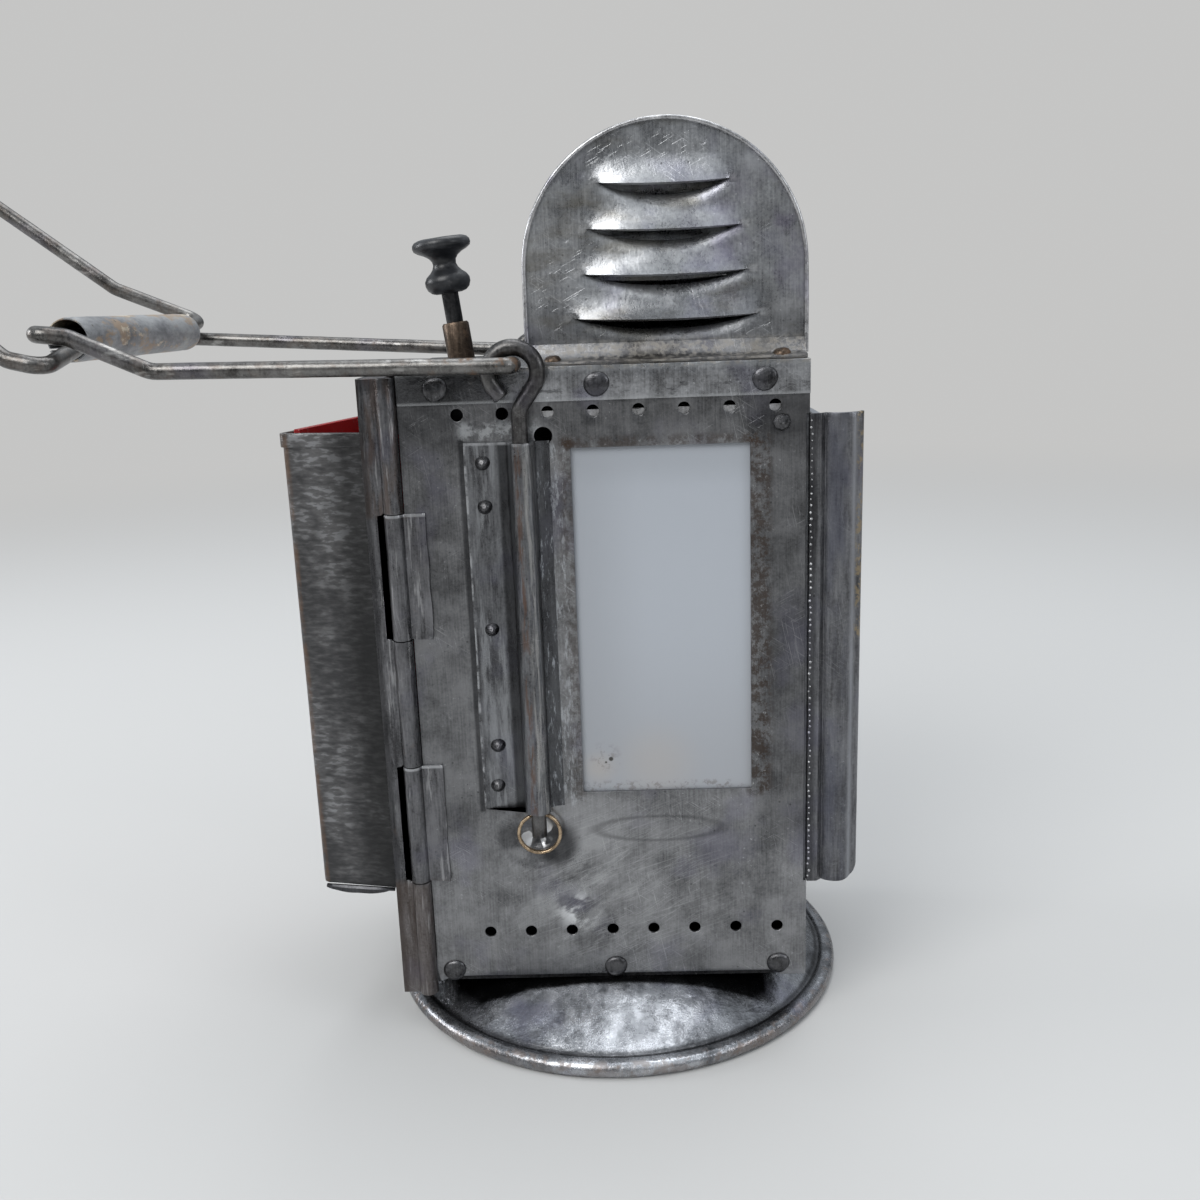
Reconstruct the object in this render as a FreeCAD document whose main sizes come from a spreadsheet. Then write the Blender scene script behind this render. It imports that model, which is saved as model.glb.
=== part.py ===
import FreeCAD, Part
import math
import os
import re
import Sketcher
from FreeCAD import Placement, Rotation, Vector

# A hand signal lamp of riveted tinned sheet. The origin is the centre of the base on the table,
# +Z is up, the front with the tall window faces -Y, and the hinged side door is at -X.

sizes = {
    # sheet and fits
    "sheet_gauge": 0.9,
    "running_gap": 0.08,
    "free_gap": 0.3,
    "cut_overrun": 2.0,
    # round base
    "base_radius": 72.5,
    "bead_radius": 2.5,
    "rim_wire_radius": 1.6,
    "groove_outer_inset": 4.3,
    "groove_floor_inset": 5.3,
    "groove_depth": 0.8,
    "dome_foot_inset": 6.5,
    "dome_bulge": 1.5,
    "dome_top_radius": 42.0,
    "bottom_plate_inset": 5.1,
    "bottom_hem": 3.0,
    # body box
    "body_half_width": 57.5,
    "body_half_depth": 43.0,
    "body_bottom": 15.0,
    "roof_top": 198.8,
    "band_height": 9.3,
    "floor_flange": 8.0,
    "front_edge_inset": 4.0,
    # front window
    "window_left": 7.7,
    "window_right_inset": 16.1,
    "window_bottom": 75.9,
    "window_height": 100.8,
    # vent rows and the spare hole
    "vent_radius": 1.7,
    "vent_count": 8,
    "vent_left_inset": 20.0,
    "vent_right_inset": 8.62,
    "top_vent_shift": 0.7,
    "low_vent_level": 31.4,
    "top_vent_level": 186.6,
    "spare_hole_radius": 2.5,
    "spare_hole_offset": 15.0,
    "spare_hole_level": 180.2,
    # rivets
    "big_head_radius": 3.3,
    "big_head_rise": 0.9,
    "small_head_radius": 2.2,
    "small_head_rise": 1.1,
    "shank_radius": 1.2,
    "foot_rivet_level": 18.9,
    "foot_rivet_inset": 8.3,
    "band_rivet_drop": 5.0,
    "band_rivet_left_inset": 13.8,
    "band_rivet_right_inset": 12.1,
    "corner_rivet_inset": 7.6,
    "corner_rivet_level": 182.0,
    # hood
    "hood_left": 18.45,
    "hood_side_inset": 0.45,
    "hood_spring_level": 223.4,
    "hood_half_depth": 36.0,
    "hood_rim_width": 1.5,
    "hood_rim_rise": 0.9,
    "hood_foot_depth": 5.0,
    "hood_foot_rise": 4.4,
    "hood_rivet_inset": 6.75,
    "chimney_inset": 3.4,
    # louvres
    "louvre_low_level": 210.2,
    "louvre_pitch": 11.6,
    "louvre_low_half": 25.3,
    "louvre_narrowing": 2.63,
    "louvre_bulge": 3.4,
    "slit_height": 2.6,
    # door, its hinge and the glass pocket
    "hinge_axis_inset": 0.2,
    "hinge_axis_front": 43.4,
    "knuckle_radius": 2.75,
    "hinge_pin_radius": 1.6,
    "door_depth": 6.8,
    "door_bottom": 12.0,
    "door_top": 197.2,
    "strap_low_bottom": 49.2,
    "strap_low_top": 85.7,
    "strap_high_bottom": 124.0,
    "strap_high_top": 160.0,
    "pocket_reach": 23.5,
    "pocket_bottom": 46.0,
    "pocket_top": 182.6,
    "pocket_root_half": 41.8,
    "pocket_nose_half": 37.4,
    "pocket_corner": 2.6,
    "pocket_heel": 1.9,
    "hem_height": 3.9,
    "hem_gauge": 0.6,
    "side_window_half": 25.0,
    # red slide
    "slide_width": 69.0,
    "slide_thickness": 2.0,
    "slide_height": 136.4,
    "slide_turn": 15.7,
    # right wing
    "wing_reach": 15.1,
    "wing_rear_reach": 12.0,
    "wing_bottom": 46.0,
    "wing_top": 184.1,
    "wing_flange": 3.0,
    "wing_groove": 1.4,
    "wing_corner": 2.0,
    "wing_depth": 4.0,
    "wing_round": 5.5,
    "wing_ledge": 3.2,
    "pane_thickness": 2.0,
    # sleeves, rods and split rings
    "sleeve_axis_offset": 20.9,
    "sleeve_radius": 3.7,
    "sleeve_bottom": 72.0,
    "sleeve_top": 179.0,
    "sleeve_plate_width": 16.0,
    "sleeve_rivet_offset": 31.8,
    "sleeve_rivet_lowest": 78.5,
    "rod_radius": 2.25,
    "rod_tail": 9.0,
    "rod_travel": 6.5,
    "eye_centre_offset": 22.05,
    "eye_centre_level": 197.7,
    "eye_radius": 6.6,
    "eye_start_angle": 35.0,
    "eye_tip": 3.6,
    "rod_bend_radius": 6.0,
    "ring_radius": 5.6,
    "ring_wire_radius": 0.65,
    "ring_hole_radius": 1.25,
    # bails and the grip
    "arm_end_inset": 1.3,
    "bail_bend_radius": 7.0,
    "grip_offset": 142.2,
    "grip_level": 210.0,
    "grip_front": 42.0,
    "grip_rear": 46.0,
    "grip_wall": 0.6,
    "bar_spacing": 2.4,
    "bar_slant": 2.0,
    "shoulder_offset": 117.0,
    "shoulder_level": 201.3,
    "knee_offset": 136.5,
    "knee_front": 55.0,
    "knee_level": 210.9,
    "lower_corner_front": 58.0,
    "lower_corner_rear": 56.5,
    "lower_front_level": 212.0,
    "lower_rear_level": 207.6,
    "upper_corner_front": 62.6,
    "upper_corner_rear": 58.4,
    "upper_front_level": 203.6,
    "upper_rear_level": 213.2,
    "upper_toe_offset": 149.6,
    "upper_toe_level": 206.0,
    "upper_shoulder_offset": 167.0,
    "upper_shoulder_level": 225.2,
    "upper_end_offset": 233.6,
    "upper_end_level": 277.0,
    "upper_end_half": 51.5,
    "butt_gap": 0.8,
    # key
    "key_inset": 18.8,
    "key_front": 20.0,
    "key_lean": 7.0,
    "key_travel": 8.0,
    "ferrule_radius": 3.8,
    "ferrule_height": 12.2,
    "ferrule_tail": 3.0,
    "stem_radius": 2.4,
    "stem_top": 21.0,
    "knob_base": 20.4,
    "knob_bulge_radius": 6.4,
    "knob_bulge_level": 24.2,
    "knob_waist_radius": 3.2,
    "knob_waist_level": 28.4,
    "knob_disc_radius": 8.2,
    "knob_disc_level": 32.6,
    "knob_top": 35.6,
    "collar_radius": 5.0,
    "collar_height": 2.4,
    "spring_radius": 4.6,
    "spring_wall": 0.9,
    "bracket_drop": 27.0,
    "bracket_half": 9.0,
    "bracket_width": 13.0,
    # shutter
    "pane_gap": 0.3,
    "screen_margin": 4.0,
    "screen_wall": 0.7,
    "slot_height": 7.4,
    "slot_count": 6,
    "guide_depth": 2.0,
    "guide_lip": 1.8,
    "fork_drop": 33.0,
    # oil font and burner
    "font_inset": 40.5,
    "font_rear": 4.0,
    "font_radius": 26.0,
    "font_height": 42.0,
    "font_shoulder": 8.0,
    "neck_radius": 12.0,
    "neck_height": 5.0,
    "socket_height": 6.0,
    "cap_height": 4.0,
    "burner_radius": 15.0,
    "burner_rim": 4.0,
    "burner_height": 20.0,
    "burner_crown_radius": 9.0,
    "wick_half_width": 7.0,
    "wick_half_thickness": 1.2,
    "wick_proud": 4.0,
    "wick_depth": 34.0,
    "wheel_level": 8.0,
    "shaft_radius": 1.2,
    "spur_radius": 2.2,
    "spur_width": 6.0,
    "shaft_length": 30.0,
    "thumb_radius": 6.0,
    "thumb_width": 3.0,
    # reflector
    "reflector_radius": 30.0,
    "reflector_dish": 8.0,
    "reflector_level": 122.0,
    "reflector_front": 22.0,
    "reflector_strap": 10.0,
}

# places and radii that keep their distance from an edge of the base or the body
followers = {
    "groove_outer_radius": "base_radius - groove_outer_inset",
    "groove_floor_radius": "base_radius - groove_floor_inset",
    "dome_foot_radius": "base_radius - dome_foot_inset",
    "bottom_plate_radius": "base_radius - bottom_plate_inset",
    "front_left_edge": "body_half_width - front_edge_inset",
    "window_width": "body_half_width - window_right_inset + window_left",
    "vent_pitch": "(2 * body_half_width - vent_left_inset - vent_right_inset) / (vent_count - 1)",
    "low_vent_start": "body_half_width - vent_left_inset",
    "top_vent_start": "body_half_width - vent_left_inset + top_vent_shift",
    "foot_rivet_offset": "body_half_width - foot_rivet_inset",
    "band_rivet_left": "body_half_width - band_rivet_left_inset",
    "band_rivet_right": "body_half_width - band_rivet_right_inset",
    "corner_rivet_offset": "body_half_width - corner_rivet_inset",
    "hood_radius": "(body_half_width - hood_side_inset + hood_left) / 2",
    "hood_centre": "(body_half_width - hood_side_inset - hood_left) / 2",
    "hood_rivet_spread": "(body_half_width - hood_side_inset + hood_left) / 2 - hood_rivet_inset",
    "hinge_axis_offset": "body_half_width - hinge_axis_inset",
    "key_offset": "body_half_width - key_inset",
    "font_offset": "body_half_width - font_inset",
}

# rivet heights down the sleeve plate and outline places, as shares of the sizes they follow
sleeve_rivet_shares = (0.0, 0.135, 0.498, 0.871, 1.0)
slide_place_share = 0.45
# how far a hinge strap reaches from the hinge to the sleeve plate
strap_reach_share = 0.436
# how far along the shorter run beside it a wire's bend may reach
bend_reach_share = 0.45
# a louvre's lens from its middle out: shares of the half width and of the bulge
lens_shares = ((1.0, 0.0), (0.86, 0.42), (0.6, 0.8), (0.25, 1.0))

doc = FreeCAD.newDocument("SignalLamp")
sheet = doc.addObject("Spreadsheet::Sheet", "Sizes")
nodes = []


def fill_sheet():
    for row, (alias, value) in enumerate(sizes.items(), start=1):
        sheet.set(f"A{row}", alias)
        sheet.set(f"B{row}", str(value))
        sheet.setAlias(f"B{row}", alias)
    for row, (alias, text) in enumerate(followers.items(), start=len(sizes) + 1):
        sheet.set(f"A{row}", alias)
        sheet.set(f"B{row}", f"={text}")
        sheet.setAlias(f"B{row}", alias)
    doc.recompute()


def linked(text):
    """The text of a size sum as an expression on the sheet."""
    return re.sub(r"[a-z]+(?:_[a-z]+)+", r"Sizes.\g<0>", str(text))


def value_of(text):
    return float(sheet.evalExpression(linked(text)))


def bind(item, path, text):
    item.setExpression(path, linked(text))


def place(item, x="0", y="0", z="0"):
    for axis, text in zip("xyz", (x, y, z)):
        if text != "0":
            bind(item, f"Placement.Base.{axis}", text)
    return item


def node(item, label):
    item.Label = label
    nodes.append(item)
    return item


def box(name, x, y, z, length, width, height):
    item = doc.addObject("Part::Box", name)
    bind(item, "Length", length)
    bind(item, "Width", width)
    bind(item, "Height", height)
    return place(item, x, y, z)


turns = {
    "X": Rotation(Vector(0, 1, 0), 90),
    "Y": Rotation(Vector(1, 0, 0), -90),
    "-Y": Rotation(Vector(1, 0, 0), 90),
    "Z": Rotation(),
}


def cylinder(name, x, y, z, radius, height, axis="Z"):
    item = doc.addObject("Part::Cylinder", name)
    item.Placement = Placement(Vector(), turns[axis])
    bind(item, "Radius", radius)
    bind(item, "Height", height)
    return place(item, x, y, z)


def leaning(name, radius, low, high):
    """A cylinder on the key's axis, from low to high measured from the roof along that axis."""
    item = doc.addObject("Part::Cylinder", name)
    item.Placement = Placement(Vector(), Rotation(Vector(0, -1, 0), value_of("key_lean")))
    bind(item, "Radius", radius)
    bind(item, "Height", f"({high}) - ({low})")
    bind(item, "Placement.Rotation.Angle", "key_lean")
    return place(
        item,
        f"-key_offset - ({low}) * sin(key_lean)",
        "-key_front",
        f"roof_top + ({low}) * cos(key_lean)",
    )


def fuse(name, items):
    item = doc.addObject("Part::MultiFuse", name)
    item.Shapes = items
    item.Refine = True
    return item


def cut(name, base, tools):
    item = doc.addObject("Part::Cut", name)
    item.Base = base
    item.Tool = tools[0] if len(tools) == 1 else fuse(f"{name}_tools", tools)
    return item


def group(name, items):
    item = doc.addObject("Part::Compound", name)
    item.Links = items
    return item


def start_body(name):
    return doc.addObject("PartDesign::Body", name)


def add_sketch(body, name, role, offset="0"):
    sketch = body.newObject("Sketcher::SketchObject", name)
    plane = next(item for item in body.Origin.OriginFeatures if item.Role == role)
    sketch.AttachmentSupport = [(plane, "")]
    sketch.MapMode = "FlatFace"
    if offset != "0":
        bind(sketch, "AttachmentOffset.Base.z", offset)
    return sketch


def tie(sketch, geometry, end, u, v):
    """Hold a point of the sketch at the sums u and v from the origin."""
    for kind, text in (("DistanceX", u), ("DistanceY", v)):
        number = sketch.addConstraint(
            Sketcher.Constraint(kind, -1, 1, geometry, end, value_of(text))
        )
        bind(sketch, f"Constraints[{number}]", text)


def draw_loop(sketch, corners):
    """A closed outline. A corner is (u, v), or (u, v, mid_u, mid_v) where an arc goes on from it."""
    count = len(corners)
    spots = [Vector(value_of(c[0]), value_of(c[1]), 0) for c in corners]
    ends = []
    for i, corner in enumerate(corners):
        here, there = spots[i], spots[(i + 1) % count]
        if len(corner) == 2:
            ends.append((sketch.addGeometry(Part.LineSegment(here, there)), 1, 2))
            continue
        middle = Vector(value_of(corner[2]), value_of(corner[3]), 0)
        round_edge = Part.Arc(here, middle, there).toShape().Edges[0].Curve
        centre, radius = round_edge.Center, round_edge.Radius
        first = math.atan2(here.y - centre.y, here.x - centre.x)
        last = math.atan2(there.y - centre.y, there.x - centre.x)
        leftward = (middle - here).cross(there - middle).z > 0
        low, high = (first, last) if leftward else (last, first)
        if high < low:
            high += 2 * math.pi
        circle = Part.Circle(centre, Vector(0, 0, 1), radius)
        arc = sketch.addGeometry(Part.ArcOfCircle(circle, low, high))
        ends.append((arc, 1, 2) if leftward else (arc, 2, 1))
        point = sketch.addGeometry(Part.Point(middle), True)
        sketch.addConstraint(Sketcher.Constraint("PointOnObject", point, 1, arc))
        tie(sketch, point, 1, corner[2], corner[3])
    for i in range(count):
        this, following = ends[i], ends[(i + 1) % count]
        sketch.addConstraint(
            Sketcher.Constraint("Coincident", this[0], this[2], following[0], following[1])
        )
        tie(sketch, this[0], this[1], corners[i][0], corners[i][1])


def draw_circle(sketch, u, v, radius):
    circle = Part.Circle(Vector(value_of(u), value_of(v), 0), Vector(0, 0, 1), value_of(radius))
    number = sketch.addGeometry(circle)
    size = sketch.addConstraint(Sketcher.Constraint("Radius", number, value_of(radius)))
    bind(sketch, f"Constraints[{size}]", radius)
    tie(sketch, number, 3, u, v)


def rectangle(left, right, low, high):
    return [(left, low), (right, low), (right, high), (left, high)]


def add_pad(body, name, role, offset, loops, length, circles=()):
    sketch = add_sketch(body, f"{name}_sketch", role, offset)
    for loop in loops:
        draw_loop(sketch, loop)
    for circle in circles:
        draw_circle(sketch, *circle)
    pad = body.newObject("PartDesign::Pad", f"{name}_pad")
    pad.Profile = sketch
    bind(pad, "Length", length)
    sketch.Visibility = False
    return pad


def add_pocket(body, name, role, offset, loops, length, circles=()):
    """Cuts against the plane's normal: towards +Y from XZ_Plane, -X from YZ, -Z from XY."""
    sketch = add_sketch(body, f"{name}_sketch", role, offset)
    for loop in loops:
        draw_loop(sketch, loop)
    for circle in circles:
        draw_circle(sketch, *circle)
    pocket = body.newObject("PartDesign::Pocket", f"{name}_pocket")
    pocket.Profile = sketch
    bind(pocket, "Length", length)
    return pocket


def add_turned(body, name, loops):
    """Turns outlines in the body's own XZ plane about its Z axis."""
    sketch = add_sketch(body, f"{name}_sketch", "XZ_Plane")
    for loop in loops:
        draw_loop(sketch, loop)
    turned = body.newObject("PartDesign::Revolution", f"{name}_turn")
    turned.Profile = sketch
    turned.ReferenceAxis = (sketch, ["V_Axis"])
    turned.Angle = 360.0
    return turned


def bent_wire(name, points, radius, bend):
    """Round wire along straight runs joined by tangent arcs, each as wide as its runs allow."""
    spots = [Vector(*[value_of(text) for text in point]) for point in points]
    edges, start = [], spots[0]
    for before, corner, after in zip(spots, spots[1:], spots[2:]):
        inward = (before - corner).normalize()
        onward = (after - corner).normalize()
        half = inward.getAngle(onward) / 2
        shorter = min((before - corner).Length, (after - corner).Length)
        turn = min(value_of(bend), bend_reach_share * shorter * math.tan(half))
        reach = turn / math.tan(half)
        arc_start, arc_end = corner + inward * reach, corner + onward * reach
        centre = corner + (inward + onward).normalize() * (turn / math.sin(half))
        middle = centre + (corner - centre).normalize() * turn
        edges.append(Part.LineSegment(start, arc_start).toShape())
        edges.append(Part.Arc(arc_start, middle, arc_end).toShape())
        start = arc_end
    edges.append(Part.LineSegment(start, spots[-1]).toShape())
    return sweep_wire(name, edges, radius)


def sweep_wire(name, edges, radius):
    spine = Part.Wire(edges)
    first = edges[0]
    direction = (first.Vertexes[1].Point - first.Vertexes[0].Point).normalize()
    circle = Part.Circle(first.Vertexes[0].Point, direction, value_of(radius))
    item = doc.addObject("Part::Feature", name)
    item.Shape = spine.makePipeShell([Part.Wire([circle.toShape()])], True, False)
    return item


# base

def make_base_pan():
    body = start_body("base_pan")
    bead_line = "base_radius - bead_radius"
    rim_top = "2 * bead_radius"
    top = [
        (bead_line, rim_top),
        ("groove_outer_radius", rim_top),
        ("groove_floor_radius", f"{rim_top} - groove_depth"),
        ("dome_foot_radius", rim_top,
         "(dome_foot_radius + dome_top_radius) / 2 + dome_bulge / 2",
         f"({rim_top} + body_bottom) / 2 + dome_bulge"),
        ("dome_top_radius", "body_bottom"),
        ("0", "body_bottom"),
    ]
    under = [
        ("0", "body_bottom - sheet_gauge"),
        ("dome_top_radius", "body_bottom - sheet_gauge",
         "(dome_foot_radius + dome_top_radius) / 2 + dome_bulge / 2",
         f"({rim_top} + body_bottom) / 2 + dome_bulge - sheet_gauge"),
        ("dome_foot_radius", f"{rim_top} - sheet_gauge"),
        ("groove_floor_radius", f"{rim_top} - groove_depth - sheet_gauge"),
        ("groove_outer_radius", f"{rim_top} - sheet_gauge"),
        (bead_line, f"{rim_top} - sheet_gauge"),
    ]
    add_turned(body, "pan_sheet", [top + under])
    bead = add_sketch(body, "pan_bead_sketch", "XZ_Plane")
    draw_circle(bead, bead_line, "bead_radius", "bead_radius")
    draw_circle(bead, bead_line, "bead_radius", "rim_wire_radius")
    rolled = body.newObject("PartDesign::Revolution", "pan_bead_turn")
    rolled.Profile = bead
    rolled.ReferenceAxis = (bead, ["V_Axis"])
    rolled.Angle = 360.0
    node(body, "base_pan")


def make_rim_wire():
    wire = doc.addObject("Part::Torus", "rim_wire")
    bind(wire, "Radius1", "base_radius - bead_radius")
    bind(wire, "Radius2", "rim_wire_radius - running_gap")
    node(place(wire, z="bead_radius"), "rim_wire")


def make_bottom_plate():
    body = start_body("bottom_plate")
    add_turned(body, "bottom_plate", [[
        ("0", "0"),
        ("bottom_plate_radius", "0"),
        ("bottom_plate_radius", "bottom_hem"),
        ("bottom_plate_radius - sheet_gauge", "bottom_hem"),
        ("bottom_plate_radius - sheet_gauge", "sheet_gauge"),
        ("0", "sheet_gauge"),
    ]])
    node(body, "bottom_plate")


# rivets

foot_rivets = [
    ("-foot_rivet_offset", "foot_rivet_level"),
    ("0", "foot_rivet_level"),
    ("foot_rivet_offset", "foot_rivet_level"),
]
band_rivets = [
    ("-band_rivet_left", "roof_top - band_rivet_drop"),
    ("0", "roof_top - band_rivet_drop"),
    ("band_rivet_right", "roof_top - band_rivet_drop"),
]
corner_rivet = ("corner_rivet_offset", "corner_rivet_level")
sleeve_rivets = [
    ("-sleeve_rivet_offset",
     f"sleeve_rivet_lowest + {share} * (sleeve_top - 2 * sleeve_rivet_lowest + sleeve_bottom)")
    for share in sleeve_rivet_shares
]


def rivet(name, x, z, face, grip, radius, rise, front):
    """A domed head on the face and a shank through the sheets behind it. face is from the middle."""
    axis = "-Y" if front else "Y"
    sign = "-" if front else ""
    head = doc.addObject("Part::Cone", f"{name}_head")
    head.Placement = Placement(Vector(), turns[axis])
    bind(head, "Radius1", radius)
    bind(head, "Radius2", f"{radius} * 0.62")
    bind(head, "Height", rise)
    place(head, x, f"{sign}({face})", z)
    shank = cylinder(
        f"{name}_shank", x, f"{sign}(({face}) - ({grip}))", z, "shank_radius", grip, axis
    )
    return fuse(name, [head, shank])


def make_rivets():
    feet, bands, plates = [], [], []
    for side in ("front", "rear"):
        front = side == "front"
        for i, (x, z) in enumerate(foot_rivets):
            feet.append(rivet(f"foot_rivet_{side}_{i}", x, z, "body_half_depth",
                              "2 * sheet_gauge", "big_head_radius", "big_head_rise", front))
        for i, (x, z) in enumerate(band_rivets):
            bands.append(rivet(f"band_rivet_{side}_{i}", x, z, "body_half_depth + sheet_gauge",
                               "2 * sheet_gauge", "big_head_radius", "big_head_rise", front))
        for i, (x, z) in enumerate(sleeve_rivets):
            plates.append(rivet(f"sleeve_rivet_{side}_{i}", x, z,
                                "body_half_depth + sheet_gauge", "2 * sheet_gauge",
                                "small_head_radius", "small_head_rise", front))
    node(group("foot_rivets", feet), "foot_rivets")
    node(group("band_rivets", bands), "band_rivets")
    node(group("sleeve_rivets", plates), "sleeve_rivets")
    node(rivet("corner_rivet", *corner_rivet, "body_half_depth", "sheet_gauge",
               "small_head_radius", "small_head_rise", True), "corner_rivet")


# body box

def make_body_floor():
    inner_half = "body_half_depth - sheet_gauge"
    width = "front_left_edge + body_half_width - sheet_gauge"
    plate = box("floor_plate", "-front_left_edge", f"-({inner_half})", "body_bottom",
                width, f"2 * ({inner_half})", "sheet_gauge")
    lips, bores = [], []
    for side, y in (("front", f"-({inner_half})"), ("rear", f"{inner_half} - sheet_gauge")):
        lips.append(box(f"floor_lip_{side}", "-front_left_edge", y, "body_bottom",
                        width, "sheet_gauge", "floor_flange"))
        for i, (x, z) in enumerate(foot_rivets):
            bores.append(cylinder(f"floor_bore_{side}_{i}", x, f"{y} - cut_overrun / 2", z,
                                  "shank_radius", "sheet_gauge + cut_overrun", "Y"))
    node(cut("body_floor", fuse("floor_folded", [plate] + lips), bores), "body_floor")


def wall_holes():
    holes = []
    for i in range(int(sizes["vent_count"])):
        holes.append((f"-low_vent_start + {i} * vent_pitch", "low_vent_level", "vent_radius"))
        holes.append((f"-top_vent_start + {i} * vent_pitch", "top_vent_level", "vent_radius"))
    for x, z in foot_rivets + band_rivets + sleeve_rivets:
        holes.append((x, z, "shank_radius"))
    return holes


def make_front_wall():
    body = start_body("front_wall")
    top = "roof_top - sheet_gauge"
    notch = "body_half_width - sheet_gauge"
    outline = [
        ("-front_left_edge", "body_bottom"),
        ("body_half_width", "body_bottom"),
        ("body_half_width", "wing_bottom"),
        (notch, "wing_bottom"),
        (notch, "wing_top"),
        ("body_half_width", "wing_top"),
        ("body_half_width", top),
        ("-front_left_edge", top),
    ]
    window = rectangle("-window_left", "window_width - window_left",
                       "window_bottom", "window_bottom + window_height")
    holes = wall_holes()
    holes.append(("-spare_hole_offset", "spare_hole_level", "spare_hole_radius"))
    holes.append((*corner_rivet, "shank_radius"))
    add_pad(body, "front_wall", "XZ_Plane", "body_half_depth - sheet_gauge",
            [outline, window], "sheet_gauge", holes)
    node(body, "front_wall")


def make_rear_wall():
    body = start_body("rear_wall")
    outline = rectangle("-body_half_width", "body_half_width",
                        "body_bottom", "roof_top - sheet_gauge")
    add_pad(body, "rear_wall", "XZ_Plane", "-body_half_depth", [outline], "sheet_gauge",
            wall_holes())
    node(body, "rear_wall")


def side_window():
    return rectangle("-side_window_half", "side_window_half",
                     "window_bottom", "window_bottom + window_height")


def make_right_wall():
    body = start_body("right_wall")
    inner = "body_half_depth - sheet_gauge"
    outline = rectangle(f"-({inner})", inner, "body_bottom", "roof_top - sheet_gauge")
    add_pad(body, "right_wall", "YZ_Plane", "body_half_width - sheet_gauge",
            [outline, side_window()], "sheet_gauge")
    node(body, "right_wall")


def make_roof_plate():
    outer = "body_half_depth + sheet_gauge"
    width = "2 * body_half_width"
    plate = box("roof_sheet", "-body_half_width", f"-({outer})", "roof_top - sheet_gauge",
                width, f"2 * ({outer})", "sheet_gauge")
    bands = [
        box(f"roof_band_{side}", left, y, "roof_top - band_height",
            f"body_half_width - ({left})", "sheet_gauge", "band_height")
        for side, y, left in (
            ("front", f"-({outer})", "-hinge_axis_offset + knuckle_radius + free_gap"),
            ("rear", "body_half_depth", "-body_half_width"),
        )
    ]
    half = "(hood_radius - chimney_inset)"
    depth = "(hood_half_depth - chimney_inset)"
    tools = [
        box("chimney_opening", f"hood_centre - {half}", f"-{depth}",
            "roof_top - sheet_gauge - cut_overrun", f"2 * {half}", f"2 * {depth}",
            "sheet_gauge + 2 * cut_overrun"),
        leaning("ferrule_opening", "ferrule_radius", "-2 * cut_overrun", "2 * cut_overrun"),
    ]
    for side, y in (("front", f"-({outer})"), ("rear", "body_half_depth")):
        for i, (x, z) in enumerate(band_rivets):
            tools.append(cylinder(f"band_bore_{side}_{i}", x, f"{y} - cut_overrun / 2", z,
                                  "shank_radius", "sheet_gauge + cut_overrun", "Y"))
    node(cut("roof_plate", fuse("roof_folded", [plate] + bands), tools), "roof_plate")


# hood with louvres

def arch(radius, low):
    """A round-topped outline about the hood's centre line."""
    return [
        (f"hood_centre + {radius}", low),
        (f"hood_centre + {radius}", "hood_spring_level",
         "hood_centre", f"hood_spring_level + {radius}"),
        (f"hood_centre - {radius}", "hood_spring_level"),
        (f"hood_centre - {radius}", low),
    ]


def make_hood_vault():
    body = start_body("hood_vault")
    outer = arch("hood_radius", "roof_top")
    inner = [
        ("hood_centre - hood_radius + sheet_gauge", "roof_top"),
        ("hood_centre - hood_radius + sheet_gauge", "hood_spring_level",
         "hood_centre", "hood_spring_level + hood_radius - sheet_gauge"),
        ("hood_centre + hood_radius - sheet_gauge", "hood_spring_level"),
        ("hood_centre + hood_radius - sheet_gauge", "roof_top"),
    ]
    add_pad(body, "hood_vault", "XZ_Plane", "-hood_half_depth", [outer + inner],
            "2 * hood_half_depth")
    node(body, "hood_vault")


hood_rivet_line = "(hood_half_depth + sheet_gauge + hood_foot_depth / 2)"
hood_rivet_places = ["hood_centre - hood_rivet_spread", "hood_centre + hood_rivet_spread"]


def lens(half_width, bulge, middle, base, sign):
    """A long low lens on the line v = base, in shares of its half width and its bulge."""
    right = [(f"{middle} + {along} * {half_width}", f"{base} {sign} {out} * ({bulge})")
             for along, out in lens_shares]
    left = [(f"{middle} - {along} * {half_width}", f"{base} {sign} {out} * ({bulge})")
            for along, out in reversed(lens_shares)]
    return right + left


def add_spindle(body, name, kind, face, level, half_width, bulge, turn, front):
    """A lens turned about its own straight edge, which lies across the panel's face."""
    sketch = add_sketch(body, f"{name}_sketch", "XY_Plane", level)
    y = f"-{face}" if front else face
    draw_loop(sketch, lens(half_width, bulge, "hood_centre", y, "-" if front else "+"))
    ends = [f"hood_centre + {half_width}", f"hood_centre - {half_width}"]
    if not front:
        ends.reverse()
    spots = [Vector(value_of(u), value_of(y), 0) for u in ends]
    axis = sketch.addGeometry(Part.LineSegment(*spots), True)
    tie(sketch, axis, 1, ends[0], y)
    tie(sketch, axis, 2, ends[1], y)
    turned = body.newObject(kind, name)
    turned.Profile = sketch
    turned.ReferenceAxis = (sketch, ["Axis0"])
    turned.Angle = turn
    return turned


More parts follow.
